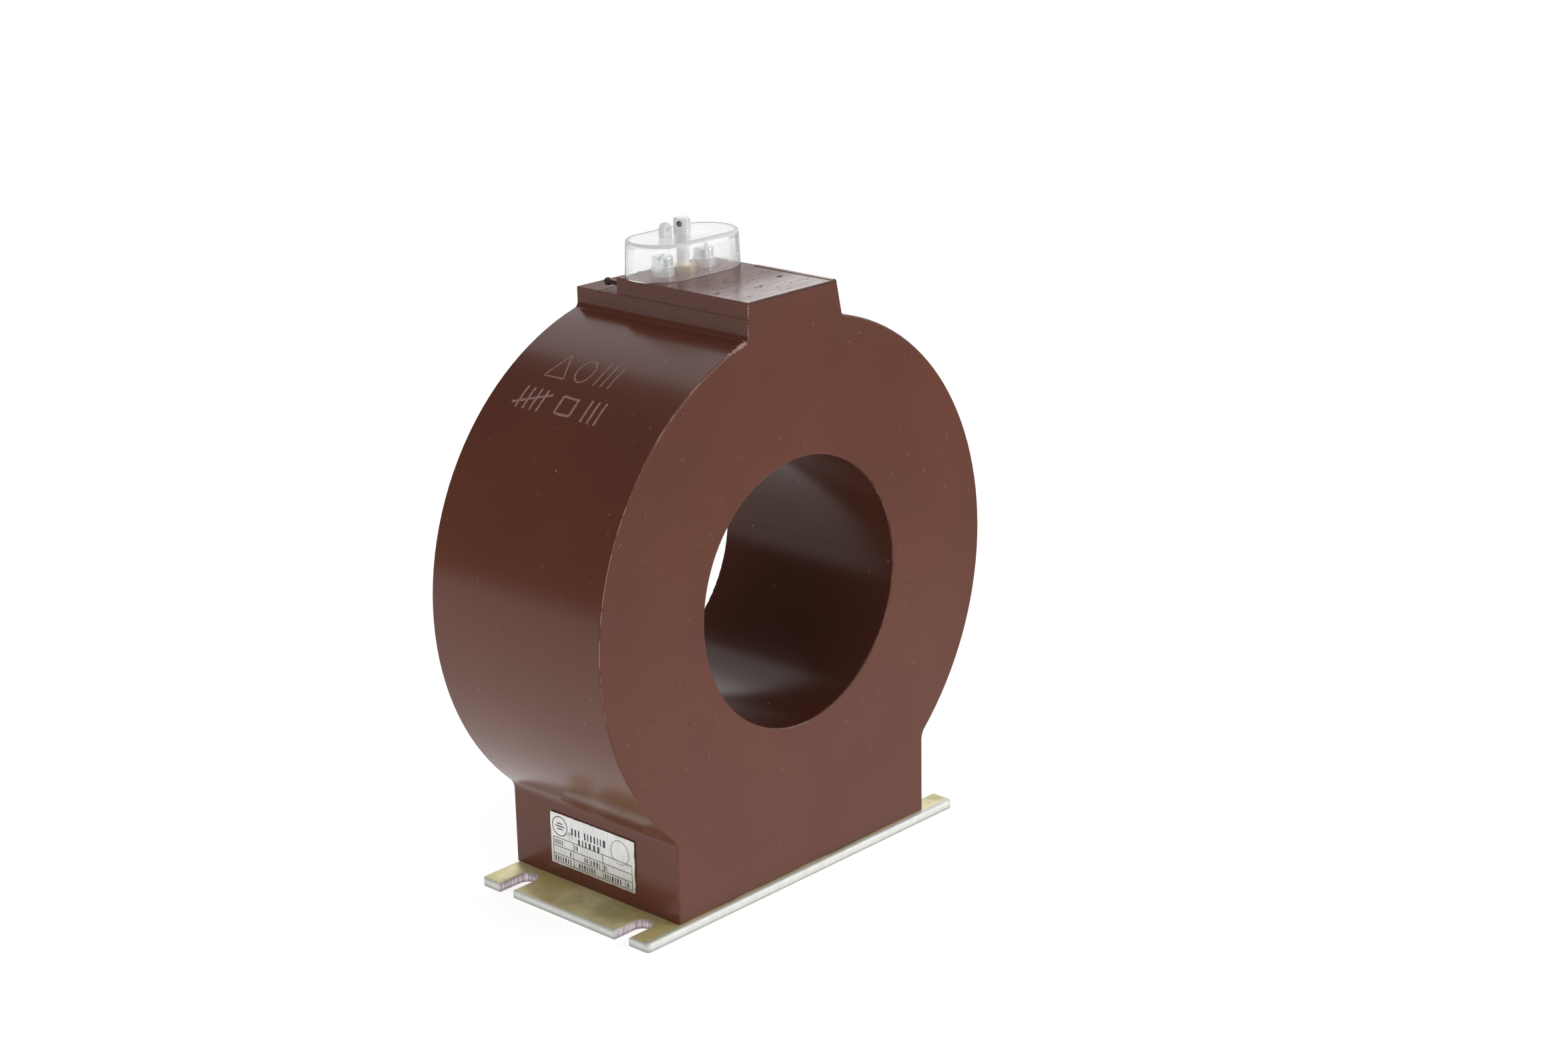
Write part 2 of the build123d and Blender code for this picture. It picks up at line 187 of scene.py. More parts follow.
class CoverShape(bpy.types.PropertyGroup):
    """The clear cover's moulding."""

    height: length("Height", "From the block to the cover's top", 16.1 * MM)
    wall: length("Wall", "Thickness of the moulding", 1.6 * MM)
    edge: length("Edge", "Radius of the top edge", 1.1 * MM)
    draft: FloatProperty(
        name="Draft", description="Lean of the walls", default=math.radians(2.0), subtype="ANGLE"
    )
    hole: length("Hole", "Radius of the hole for the sealing screw", 2.75 * MM)
    rib_width: length("Rib width", "Width of the rib on the near wall", 1.4 * MM)
    rib_depth: length("Rib depth", "How far the rib stands in", 0.7 * MM)
    rib_length: length("Rib length", "From the ceiling down", 7.5 * MM)
    lug_offset: length("Lug offset", "From the screw to the lug", 10.0 * MM)
    lug_radius: length("Lug radius", "Radius of the lug's round end", 2.9 * MM)
    lug_height: length("Lug height", "Height of the lug", 6.4 * MM)
    lug_thickness: length("Lug thickness", "Thickness of the lug", 3.4 * MM)
    haze: portion("Haze", "How milky the walls are", 0.14)
    rim_haze: portion("Rim haze", "How milky the top edge and the rib are", 0.75)
    rim_width: length("Rim width", "Width of the milky top edge", 2.2 * MM)
    lug_haze: portion("Lug haze", "How milky the lug is", 0.75)
    wall_crumbs: number("Wall crumbs", "Resin crumbs on the near wall", 44)
    block_crumbs: number("Block crumbs", "Resin crumbs under the cover", 60)


class StageLight(bpy.types.PropertyGroup):
    """The studio's light: three soft lamps and what comes from all round."""

    key: power("Key", "Soft lamp on the right", 10.0)
    back: power("Back", "Soft lamp behind", 1.3)
    table: power("Table", "Light that the table throws up", 10.5)
    fill: FloatProperty(
        name="Fill", description="Light that comes from all round", default=0.52, min=0
    )


# Shader helpers


def node(tree, kind, sockets=None, **settings):
    """Adds a shader node, with its settings and with its sockets set or linked."""
    made = tree.nodes.new(kind)
    for key, value in settings.items():
        setattr(made, key, value)
    for key, value in (sockets or {}).items():
        if isinstance(value, bpy.types.NodeSocket):
            tree.links.new(value, made.inputs[key])
        else:
            made.inputs[key].default_value = value
    return made


def maths(tree, operation, first, second=0.0, clamp=False):
    """The result of one Math node."""
    made = node(tree, "ShaderNodeMath", {0: first, 1: second}, operation=operation, use_clamp=clamp)
    return made.outputs[0]


def combined(tree, operation, values):
    """Several numbers put together by one operation, two at a time."""
    result = values[0]
    for value in values[1:]:
        result = maths(tree, operation, result, value)
    return result


def product(tree, *values):
    """Several masks multiplied together."""
    return combined(tree, "MULTIPLY", values)


def total(tree, *values):
    """Several numbers added up."""
    return combined(tree, "ADD", values)


def greatest(tree, *values):
    """The greatest of several masks."""
    return combined(tree, "MAXIMUM", values)


def apart(tree, value, middle):
    """How far a number is from a middle, to either side."""
    return maths(tree, "ABSOLUTE", maths(tree, "SUBTRACT", value, middle))


def diagonal(tree, first, second):
    """The length of two steps taken at right angles."""
    squares = total(tree, product(tree, first, first), product(tree, second, second))
    return maths(tree, "SQRT", squares)


def ramp(tree, value, low, high, to_low=0.0, to_high=1.0):
    """A value carried smoothly from one range to another."""
    ends = {"From Min": low, "From Max": high, "To Min": to_low, "To Max": to_high}
    sockets = {"Value": value, **ends}
    return node(tree, "ShaderNodeMapRange", sockets, interpolation_type="SMOOTHSTEP").outputs[0]


def between(tree, value, low, high, soft):
    """A mask that is one between two values and fades out softly beyond them."""
    rise = ramp(tree, value, low - soft, low + soft)
    fall = ramp(tree, value, high - soft, high + soft, 1.0, 0.0)
    return product(tree, rise, fall)


def mixed(tree, share, first, second):
    """One colour laid over another by a share; each is a result or three plain numbers."""
    plain = [c if isinstance(c, bpy.types.NodeSocket) else (*c, 1.0) for c in (first, second)]
    made = node(tree, "ShaderNodeMix", {0: share, 6: plain[0], 7: plain[1]}, data_type="RGBA")
    return made.outputs[2]


def mixed_value(tree, share, first, second):
    """One number laid over another by a share."""
    return node(tree, "ShaderNodeMix", {0: share, 2: first, 3: second}).outputs[0]


def shade(rgb, factor):
    """A plain colour made lighter or darker."""
    return tuple(min(1.0, c * factor) for c in rgb)


def vector_maths(tree, operation, first, second=(0.0, 0.0, 0.0)):
    """The outputs of one Vector Math node: its Vector and its Value."""
    return node(tree, "ShaderNodeVectorMath", {0: first, 1: second}, operation=operation).outputs


def coordinate(tree, kind="Object"):
    """A point's place in the object's own coordinates, or another texture coordinate."""
    return node(tree, "ShaderNodeTexCoord").outputs[kind]


def split(tree, vector):
    """A vector's parts X, Y and Z."""
    return node(tree, "ShaderNodeSeparateXYZ", {0: vector}).outputs


# Shared effects, each a node group built once


def new_group(name, inputs, outputs):
    """A shader node group with named number inputs and outputs, and its two end nodes."""
    tree = bpy.data.node_groups.new(name, "ShaderNodeTree")
    for label, default in inputs.items():
        socket = tree.interface.new_socket(label, in_out="INPUT", socket_type="NodeSocketFloat")
        socket.default_value = default
    for label in outputs:
        tree.interface.new_socket(label, in_out="OUTPUT", socket_type="NodeSocketFloat")
    return tree, node(tree, "NodeGroupInput").outputs, node(tree, "NodeGroupOutput").inputs


def uneven_group():
    """Cloudy variation in the object's own coordinates: smooth noise, stretched along an axis."""
    inputs = {"Scale": 100.0, "Detail": 3.0, "Stretch X": 1.0, "Stretch Y": 1.0, "Stretch Z": 1.0}
    tree, given, out = new_group("Uneven", inputs, ["Value"])
    axes = {i: given[f"Stretch {axis}"] for i, axis in enumerate("XYZ")}
    stretch = node(tree, "ShaderNodeCombineXYZ", axes).outputs[0]
    stretched = vector_maths(tree, "MULTIPLY", coordinate(tree), stretch)["Vector"]
    sockets = {"Scale": given["Scale"], "Detail": given["Detail"], "Vector": stretched}
    noise = node(tree, "ShaderNodeTexNoise", sockets)
    tree.links.new(noise.outputs[0], out["Value"])


def speck_group():
    """Small round specks: cells whose middle is nearer than a size that differs from cell to cell."""
    inputs = {"Scale": 300.0, "Size": 0.2, "Share": 0.3}
    tree, given, out = new_group("Specks", inputs, ["Mask"])
    sockets = {"Vector": coordinate(tree), "Scale": given["Scale"]}
    cells = node(tree, "ShaderNodeTexVoronoi", sockets)
    picked = node(tree, "ShaderNodeSeparateColor", {0: cells.outputs["Color"]}).outputs
    here = maths(tree, "LESS_THAN", picked[0], given["Share"])
    size = product(tree, picked[1], given["Size"])
    near = maths(tree, "LESS_THAN", cells.outputs["Distance"], size)
    tree.links.new(product(tree, here, near), out["Mask"])


def around_group():
    """Where a point is round the ring's axis: its radius in metres and its turn in radians."""
    tree, given, out = new_group("Around", {"Axis Height": AXIS_HEIGHT}, ["Radius", "Turn"])
    place = split(tree, coordinate(tree))
    rise = maths(tree, "SUBTRACT", place["Z"], given["Axis Height"])
    tree.links.new(diagonal(tree, place["X"], rise), out["Radius"])
    tree.links.new(maths(tree, "ARCTAN2", rise, place["X"]), out["Turn"])


def worn_rim_group():
    """Wear along the casting's rounded near rims, where the surface turns from side to front."""
    tree, given, out = new_group("Worn Rim", {"Scale": 160.0, "Cover": 0.55}, ["Mask"])
    facing = split(tree, coordinate(tree, "Normal"))
    rim = between(tree, facing["Y"], -0.82, -0.60, 0.06)
    sockets = {"Vector": coordinate(tree), "Scale": given["Scale"], "Detail": 4.0}
    noise = node(tree, "ShaderNodeTexNoise", sockets).outputs[0]
    broken = ramp(tree, noise, maths(tree, "SUBTRACT", given["Cover"], 0.12), given["Cover"])
    tree.links.new(product(tree, rim, broken), out["Mask"])


def effects(tree, group, **values):
    """A shared effect placed in a material with its own values; gives all its outputs."""
    made = node(tree, "ShaderNodeGroup", node_tree=bpy.data.node_groups[group])
    for key, value in values.items():
        made.inputs[key.replace("_", " ")].default_value = value
    return made.outputs


def effect(tree, group, **values):
    """A shared effect placed in a material with its own values; gives its first output."""
    return effects(tree, group, **values)[0]


def empty_tree(owner):
    """The node tree of a material or world, with nothing in it."""
    owner.use_nodes = True
    owner.node_tree.nodes.clear()
    return owner.node_tree


def new_material(name, **sockets):
    """A material with a Principled shader, whose plain numbers and colours are set on it."""
    material = bpy.data.materials.new(name)
    tree = empty_tree(material)
    shader = node(tree, "ShaderNodeBsdfPrincipled")
    for key, value in sockets.items():
        value = (*value, 1.0) if isinstance(value, tuple) and len(value) == 3 else value
        shader.inputs[key.replace("_", " ")].default_value = value
    node(tree, "ShaderNodeOutputMaterial", {0: shader.outputs[0]})
    return material, tree, shader


def feed(tree, shader, **links):
    """Links results to the shader's sockets."""
    for key, value in links.items():
        tree.links.new(value, shader.inputs[key.replace("_", " ")])


def bumped(tree, shader, height, distance, strength=1.0, normal=None):
    """Small relief from a height, in metres of depth, on the surface's own direction or another."""
    sockets = {"Height": height, "Distance": distance, "Strength": strength}
    if normal is not None:
        sockets["Normal"] = normal
    feed(tree, shader, Normal=node(tree, "ShaderNodeBump", sockets).outputs[0])


# Mesh helpers


def link_mesh(name, points, faces, closed=True, smooth=None):
    """A mesh piece from points and faces; a closed one has its faces turned outwards."""
    mesh = bpy.data.meshes.new(name)
    mesh.from_pydata(points.reshape(-1, 3).tolist(), [], faces.tolist())
    if closed:
        work = bmesh.new()
        work.from_mesh(mesh)
        bmesh.ops.recalc_face_normals(work, faces=work.faces)
        work.to_mesh(mesh)
        work.free()
    if smooth is not None:
        mesh.shade_smooth()
        mesh.set_sharp_from_angle(angle=math.radians(smooth))
    piece = bpy.data.objects.new(name, mesh)
    bpy.context.scene.collection.objects.link(piece)
    return piece


def grid_faces(rows, columns, closed_across=False, closed_along=False):
    """The faces between a grid's points; a closed side joins its last line to its first."""
    index = np.arange(rows * columns).reshape(rows, columns)
    if closed_along:
        index = np.vstack([index, index[:1]])
    if closed_across:
        index = np.hstack([index, index[:, :1]])
    corners = [index[:-1, :-1], index[:-1, 1:], index[1:, 1:], index[1:, :-1]]
    return np.stack(corners, axis=-1).reshape(-1, 4)


def joined(parts):
    """Several lots of points and their four-cornered faces put into one."""
    lots = [points.reshape(-1, 3) for points, _ in parts]
    starts = np.cumsum([0] + [len(points) for points in lots[:-1]])
    faces = [corners + start for (_, corners), start in zip(parts, starts)]
    return np.vstack(lots), np.vstack(faces)


def stroke(line, width, place, proud, sunk, closed=False):
    """A low bar along a line on a surface, closed all round.

    line holds pairs (a, b) on the surface and place(a, b, lift) gives their point in space. The four
    lines of the bar are line plus or minus width / 2 times the unit normal of its direction, at the
    lifts -sunk and proud.
    """
    if closed:
        ahead = np.roll(line, -1, axis=0) - np.roll(line, 1, axis=0)
    else:
        ahead = np.gradient(line, axis=0)
    ahead = ahead / np.linalg.norm(ahead, axis=1, keepdims=True)
    across = np.stack([-ahead[:, 1], ahead[:, 0]], axis=1)
    half = across * np.broadcast_to(np.asarray(width) / 2, len(line))[:, None]
    sides = [(line + half, -sunk), (line + half, proud), (line - half, proud), (line - half, -sunk)]
    points = np.stack([place(side[:, 0], side[:, 1], lift) for side, lift in sides], axis=1)
    faces = grid_faces(len(line), 4, closed_across=True, closed_along=closed)
    if not closed:
        last = 4 * (len(line) - 1)
        caps = np.array([[0, 1, 2, 3], [last + 3, last + 2, last + 1, last]])
        faces = np.vstack([faces, caps])
    return points, faces


def flakes(centres, outward, sizes, rng):
    """Small flat chips: a rim of six uneven corners round each centre, a low top and a foot.

    Rim point k is centre + size (0.6 to 1.2) (cos t a + 0.6 sin t b), with a and b square to outward;
    the top is centre + 0.3 size outward, and the foot is as far in.
    """
    outward = outward / np.linalg.norm(outward, axis=1, keepdims=True)
    first = np.cross(outward, rng.normal(size=outward.shape))
    first /= np.linalg.norm(first, axis=1, keepdims=True)
    second = np.cross(outward, first)
    sides = 6
    ring = np.arange(sides)
    turn = ring * 2 * math.pi / sides
    radius = sizes[:, None] * rng.uniform(0.6, 1.2, (len(sizes), sides))
    along = (radius * np.cos(turn))[:, :, None] * first[:, None, :]
    beside = (0.6 * radius * np.sin(turn))[:, :, None] * second[:, None, :]
    rim = centres[:, None, :] + along + beside
    rise = (0.3 * sizes)[:, None] * outward
    points = np.concatenate([rim, (centres + rise)[:, None], (centres - rise)[:, None]], axis=1)
    follow = (ring + 1) % sides
    top = np.stack([ring, follow, np.full(sides, sides)], axis=1)
    foot = np.stack([follow, ring, np.full(sides, sides + 1)], axis=1)
    one = np.concatenate([top, foot])
    starts = points.shape[1] * np.arange(len(sizes))
    faces = (one[None] + starts[:, None, None]).reshape(-1, 3)
    return points, faces


def grid_piece(name, points, smooth=None):
    """An open sheet from a grid of points: rows along the first index, columns along the second."""
    return link_mesh(name, points, grid_faces(*points.shape[:2]), closed=False, smooth=smooth)


def finish_piece(piece, material, replaced=()):
    """Puts a new piece on the body, with its finish and the nodes it stands for."""
    piece.data.materials.append(material)
    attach(piece, "root")
    for name in replaced:
        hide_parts(name)


def strokes_piece(name, parts, material):
    """A piece made of many closed strokes, finished and put on the body."""
    finish_piece(link_mesh(name, *joined(parts)), material)


def dress(material, *names):
    """Gives CAD nodes a material."""
    for name in names:
        piece = nodes[name]
        piece.data.materials.clear()
        piece.data.materials.append(material)


# Surfaces that small pieces lie on


def ring_side(a, b, lift):
    """The ring's left side: a runs towards the near face, b is the arc's length above the axis."""
    turn = b / RING_RADIUS
    radius = RING_RADIUS + lift
    return np.stack([-radius * np.cos(turn), -a, AXIS_HEIGHT + radius * np.sin(turn)], axis=-1)


def near_face(a, b, lift):
    """The flat near face: a runs right, b up."""
    return np.stack([a, np.full_like(a, FRONT_Y) - lift, b], axis=-1)


def poured_face(a, b, lift):
    """The block's poured top: a runs right, b away from the near face."""
    return np.stack([a, b, np.full_like(a, BLOCK_TOP) + lift], axis=-1)


def label_face(a, b, lift):
    """The rating plate's face: a runs right from its left edge, b down from its top edge.

    The sheet stands off the wall by the finish's lift times the fourth power of how near an end
    it is.
    """
    half = LABEL_SIZE[0] / 2
    bend = bpy.context.scene.label_finish.lift * (a / half - 1) ** 4
    return np.stack([LABEL_LOW[0] - bend - lift, LABEL_HIGH[1] - a, LABEL_HIGH[2] - b], axis=-1)


def inner_wall(a, b, lift):
    """The cover's near inner wall: a runs right from the middle, b up from the block."""
    look = bpy.context.scene.cover_shape
    y = COVER_LOW[1] + look.wall + math.tan(look.draft) * b + lift
    return np.stack([COVER_MIDDLE[0] + a, y, COVER_LOW[2] + b], axis=-1)


# Lines that small pieces follow


def resampled(line, step):
    """A line of points with more points set evenly along it."""
    reach = np.concatenate([[0], np.cumsum(np.linalg.norm(np.diff(line, axis=0), axis=1))])
    even = np.linspace(0, reach[-1], max(3, int(reach[-1] / step)))
    return np.stack([np.interp(even, reach, line[:, i]) for i in (0, 1)], axis=1)


def wavering(line, rng, step, amount):
    """A hand-drawn line: resampled evenly, then moved aside by smooth seeded noise."""
    points = resampled(line, step)
    noise = rng.normal(0, amount, (len(points) + 4, 2))
    kernel = np.ones(5) / 5
    return points + np.stack([np.convolve(noise[:, i], kernel, "valid") for i in (0, 1)], axis=1)


def arc(middle, radius, start, stop, count, squeeze=1.0):
    """Points (a, b) on an arc: middle + radius (squeeze cos t, sin t), from start to stop in degrees."""
    turn = np.radians(np.linspace(start, stop, count))
    return middle + radius * np.stack([squeeze * np.cos(turn), np.sin(turn)], axis=1)


# The resin casting


def from_cover(tree, place):
    """How far a point of the poured face is from the cover's long outline, in metres."""
    aside = maths(tree, "SUBTRACT", apart(tree, place["X"], COVER_MIDDLE[0]), COVER_STRAIGHT / 2)
    ahead = maths(tree, "SUBTRACT", place["Y"], COVER_MIDDLE[1])
    away = diagonal(tree, greatest(tree, aside, 0.0), ahead)
    return maths(tree, "SUBTRACT", away, COVER_RADIUS)


def poured_film(tree, look, ledge):
    """The poured face's film: streaks along X and short dark dashes, paler on the ledge as a painted
    sheen.

    Gives its colour, the streaks as a mask, and the noise that they come from.
    """
    grain = effect(tree, "Uneven", Scale=330.0, Detail=5.0, Stretch_X=0.16)
    streaks = ramp(tree, grain, 0.35, 0.68)
    film = mixed(tree, streaks, shade(look.film, 1.08), shade(look.film, 0.9))
    dashes = effect(tree, "Uneven", Scale=520.0, Detail=2.0, Stretch_X=0.22)
    film = mixed(tree, ramp(tree, dashes, 0.68, 0.73), film, shade(look.film, 0.5))
    # Painted sheen: the ledge is tinted pale pinkish, as the bright surroundings look in it
    film = mixed(tree, product(tree, ledge, 0.12), film, look.chipped)
    return film, streaks, grain


def rubbed_rims(tree, place, facing, radius):
    """The near rims that are rubbed pale: the upper left ones, and faintly the window's right one."""
    left = product(
        tree,
        ramp(tree, place["X"], -2 * MM, -12 * MM),
        ramp(tree, place["Z"], 90 * MM, 135 * MM),
        ramp(tree, facing["Z"], 0.93, 0.80),
    )
    right = product(
        tree,
        ramp(tree, place["X"], 40 * MM, 52 * MM),
        ramp(tree, radius, BORE_RADIUS + 4 * MM, BORE_RADIUS + 2 * MM),
        0.35,
    )
    rim = effect(tree, "Worn Rim", Scale=130.0, Cover=0.58)
    return product(tree, rim, greatest(tree, left, right))


def resin_material(look):
    """Satin brown resin: cloudy and dusty, with rubbed rims, painted shade in the window, and a poured
    face with a painted sheen on its ledge.
    """
    material, tree, shader = new_material(
        "satin_resin", IOR=1.42, Specular_IOR_Level=0.06, Coat_IOR=1.42, Coat_Roughness=look.roughness
    )
    place, facing = split(tree, coordinate(tree)), split(tree, coordinate(tree, "Normal"))
    radius = effect(tree, "Around")

    # Masks: the window's wall, the poured face with its ledge, the dark seam under the poured face's
    # near edge, and the left side of the low rim on its right, which gets painted light
    window = ramp(tree, radius, BORE_RADIUS + 0.1 * MM, BORE_RADIUS + 0.6 * MM, 1.0, 0.0)
    poured = product(
        tree,
        ramp(tree, facing["Z"], 0.9, 0.98),
        ramp(tree, place["Z"], LEDGE_TOP - 0.6 * MM, LEDGE_TOP - 0.1 * MM),
    )
    ledge = ramp(tree, place["Z"], LEDGE_TOP + 1 * MM, LEDGE_TOP + 2 * MM, 1.0, 0.0)
    ledge = product(tree, poured, ledge)
    seam = product(
        tree,
        ramp(tree, facing["Y"], -0.6, -0.4, 1.0, 0.0),
        between(tree, place["Z"], BLOCK_TOP - 0.85 * MM, BLOCK_TOP - 0.30 * MM, 0.1 * MM),
    )
    painted_light_low_rim = product(
        tree,
        ramp(tree, facing["X"], -0.7, -0.4, 1.0, 0.0),
        ramp(tree, place["X"], 10 * MM, 11 * MM),
        ramp(tree, place["Z"], BLOCK_TOP - 0.1 * MM, BLOCK_TOP),
    )
    rubbed = rubbed_rims(tree, place, facing, radius)
    film, streaks, grain = poured_film(tree, look, ledge)

    # Colour, from the plain resin up to the dirt and wear on it, with painted shade in the window and
    # painted light on the low rim's left side
    clouds = effect(tree, "Uneven", Scale=14.0, Detail=3.0)
    base = mixed(tree, ramp(tree, clouds, 0.3, 0.7), shade(look.body, 1.03), shade(look.body, 0.92))
    # Painted shade: the window's wall is darkened, as little light reaches into the bore
    base = mixed(tree, window, base, shade(look.body, 0.60))
    base = mixed(tree, poured, base, film)
    dust = effect(tree, "Specks", Scale=170.0, Size=0.10, Share=0.30)
    base = mixed(tree, product(tree, dust, 0.55), base, look.chipped)
    soot = effect(tree, "Specks", Scale=140.0, Size=0.08, Share=0.16)
    base = mixed(tree, product(tree, soot, 0.7), base, shade(look.body, 0.25))
    base = mixed(tree, product(tree, rubbed, 0.85), base, shade(look.chipped, 1.15))
    base = mixed(tree, product(tree, seam, 0.85), base, shade(look.body, 0.2))
    # Painted light: the low rim's left side is lightened to the chipped colour, where it would show as a
    # dark shaded line
    base = mixed(tree, product(tree, painted_light_low_rim, 0.75), base, look.chipped)

    # Roughness of the body under the gloss
    rough = effect(tree, "Uneven", Scale=60.0, Detail=4.0)
    rough = ramp(tree, rough, 0.3, 0.7, look.roughness - 0.03, look.roughness + 0.04)
    rough = total(
        tree,
        rough,
        product(tree, poured, streaks, 0.05),
        product(tree, poured, -0.05),
        product(tree, ledge, 0.2),
        product(tree, rubbed, 0.3),
    )

    # Gloss: on the poured face it is dull by the cover and on the ledge
    moulded = maths(tree, "SUBTRACT", look.gloss, product(tree, window, 0.2))
    open_face = ramp(tree, from_cover(tree, place), 15 * MM, 38 * MM, 0.02, 0.98)
    open_face = product(tree, open_face, ramp(tree, streaks, 0.0, 1.0, 1.0, 0.72))
    open_face = mixed_value(tree, ledge, open_face, 0.02)
    gloss = mixed_value(tree, poured, moulded, open_face)
    gloss = product(tree, gloss, ramp(tree, greatest(tree, rubbed, seam), 0.0, 1.0, 1.0, 0.3))

    skin = effect(tree, "Uneven", Scale=700.0, Detail=2.0)
    bumped(tree, shader, total(tree, skin, product(tree, poured, grain, 2.2)), 0.02 * MM, 0.5)
    feed(tree, shader, Base_Color=base, Roughness=rough, Coat_Weight=gloss)
    return material


def scratch_material(name, pale, plain, gloss=0.5):
    """Powdery resin in a scratch, a pit or on a chip, in two colours."""
    material, tree, shader = new_material(name, Roughness=0.6, IOR=1.42, Specular_IOR_Level=gloss)
    grain = effect(tree, "Uneven", Scale=1400.0, Detail=3.0)
    base = mixed(tree, ramp(tree, grain, 0.35, 0.65), pale, plain)
    feed(tree, shader, Base_Color=base)
    bumped(tree, shader, grain, 0.03 * MM)
    return material


def rim_path(rng, count):
    """Places along the near left edges for chips: points, outward directions and sizes.

    The edges are rounded at 45 degrees: the block's upright corner, the ring's rim, dense at the
    block's foot and sparse further round, and the pedestal's upright corner. A point on the ring's
    rim at turn t from the top lies at (-radius sin t, axis height + radius cos t).
    """
    inset = RIM_ROUND * (1 - math.sqrt(0.5))
    corner, foot, tail, post = (int(part * count) for part in (0.12, 0.62, 0.20, 0.06))
    start = math.asin((1.5 * MM - BLOCK_LEFT) / RING_RADIUS)
    near_foot = start + np.abs(rng.normal(0.0, 0.045, foot))
    turns = np.concatenate([near_foot, rng.uniform(start + 0.1, math.radians(95.0), tail)])
    radius = RING_RADIUS - inset
    corner_z = rng.uniform(LEDGE_TOP - 8 * MM, BLOCK_TOP - 1 * MM, corner)
    post_z = rng.uniform(5 * MM, 36 * MM, post)
    corner_x = np.full(corner, BLOCK_LEFT + inset)
    post_x = np.full(post, LABEL_HIGH[0] + inset)
    x = np.concatenate([corner_x, -radius * np.sin(turns), post_x])
    z = np.concatenate([corner_z, AXIS_HEIGHT + radius * np.cos(turns), post_z])
    side = np.concatenate([np.full(corner, -1.0), -np.sin(turns), np.full(post, -1.0)])
    up = np.concatenate([np.zeros(corner), np.cos(turns), np.zeros(post)])
    points = np.stack([x, np.full_like(x, FRONT_Y + inset), z], axis=1)
    out = np.stack([side, np.full_like(x, -1.0), up], axis=1)
    crumbly = slice(corner, corner + foot)
    sizes = rng.uniform(0.10, 0.24, len(points)) * MM
    sizes[crumbly] *= rng.uniform(1.2, 2.2, foot)
    points += rng.normal(0.0, 0.12 * MM, points.shape)
    points[crumbly] += rng.normal(0.0, 0.40 * MM, (foot, 3)) * (1, 0, 1)
    return points, out, sizes


def tally_marks():
    """Plain hand-scratched tally strokes and simple shapes on the ring's side, in millimetres.

    Each mark is a line of points (a, b) and a width. The lower row has four strokes with a fifth
    across them, a square and three strokes; the thinner upper row has a triangle, a ring and three
    strokes.
    """
    bold, fine = 1.3, 0.75
    foot, head = 95.9, 107.3
    lines = [[[a, foot], [a + 0.3, head]] for a in (-33.0, -28.8, -24.6, -20.4, 6.0, 10.0, 14.0)]
    lines.append([[-36.5, foot + 2.0], [-16.5, head - 2.0]])
    low, high = foot + 1.5, head - 1.5
    lines.append([[-10.5, low], [-10.2, high], [-1.2, high], [-1.5, low], [-10.5, low]])
    marks = [(np.array(line), bold) for line in lines]
    foot, head = 114.0, 127.0
    marks.append((np.array([[-29.0, foot], [-23.0, head], [-17.5, foot], [-29.0, foot]]), fine))
    marks.append((arc((-9.0, foot + 6.2), 6.0, 90, 450, 25, 0.75), fine))
    for a in (0.0, 4.2, 8.4):
        marks.append((np.array([[a, foot], [a + 1.0, head + 0.5]]), fine))
    return marks


def hairlines(rng, count):
    """Short curved lines for fine scratches, in millimetres.

    Two in three lie on the near face, between the window and the ring's rim, and the rest on the
    ring's side.
    """
    parts = []
    for index in range(count):
        if index % 3:
            place = near_face
            turn, radius = rng.uniform(0, 2 * math.pi), rng.uniform(63, 117)
            middle = (radius * math.cos(turn), AXIS_HEIGHT / MM + radius * math.sin(turn))
        else:
            place = ring_side
            middle = (rng.uniform(-46, 46), rng.uniform(-40, 150))
        start = rng.uniform(0, 360)
        curve = arc(middle, rng.uniform(0.5, 2.6), start, start + rng.uniform(25, 90), 7)
        parts.append(stroke(curve * MM, rng.uniform(0.10, 0.22) * MM, place, 0.015 * MM, 0.05 * MM))
    return parts


def pour_marks(rng, count):
    """Dark pits and strokes on the poured face, in millimetres: three plain ones and many faint."""
    parts = []
    for x, y, reach in ((14.3, -28.0, 3.0), (-25.2, -29.5, 2.4), (-7.0, -18.0, 1.4)):
        line = np.array([[x - reach / 2, y], [x - 0.2, y + 0.25], [x + reach / 2, y + 0.1]])
        width = reach * np.array([0.25, 0.65, 0.3]) * MM
        parts.append(stroke(line * MM, width, poured_face, 0.02 * MM, 0.05 * MM))
    for _ in range(count):
        x, y = rng.uniform(-28, 21), rng.uniform(-49, -4)
        reach = rng.uniform(0.5, 2.2)
        line = np.array([[x, y], [x + reach / 2, y + rng.normal(0, 0.08)], [x + reach, y]])
        width = rng.uniform(0.2, 0.6) * MM
        parts.append(stroke(line * MM, width, poured_face, 0.015 * MM, 0.05 * MM))
    return parts


def scored_marks(rng):
    """The tally marks as wavering strokes of uneven width, thin at both ends."""
    parts = []
    for line, width in tally_marks():
        drawn = wavering(line, rng, 0.7, 0.16)
        widths = width * rng.uniform(0.75, 1.1, len(drawn)) * MM
        widths[[0, -1]] *= 0.5
        parts.append(stroke(drawn * MM, widths, ring_side, 0.03 * MM, 0.10 * MM))
    return parts


class TRANSFORMER_OT_casting(bpy.types.Operator):
    """Gives the resin casting its satin brown finish"""

    bl_idname = "transformer.casting"
    bl_label = "Finish the Casting"

    def execute(self, context):
        dress(resin_material(context.scene.resin_finish), "resin_casting")
        return {"FINISHED"}


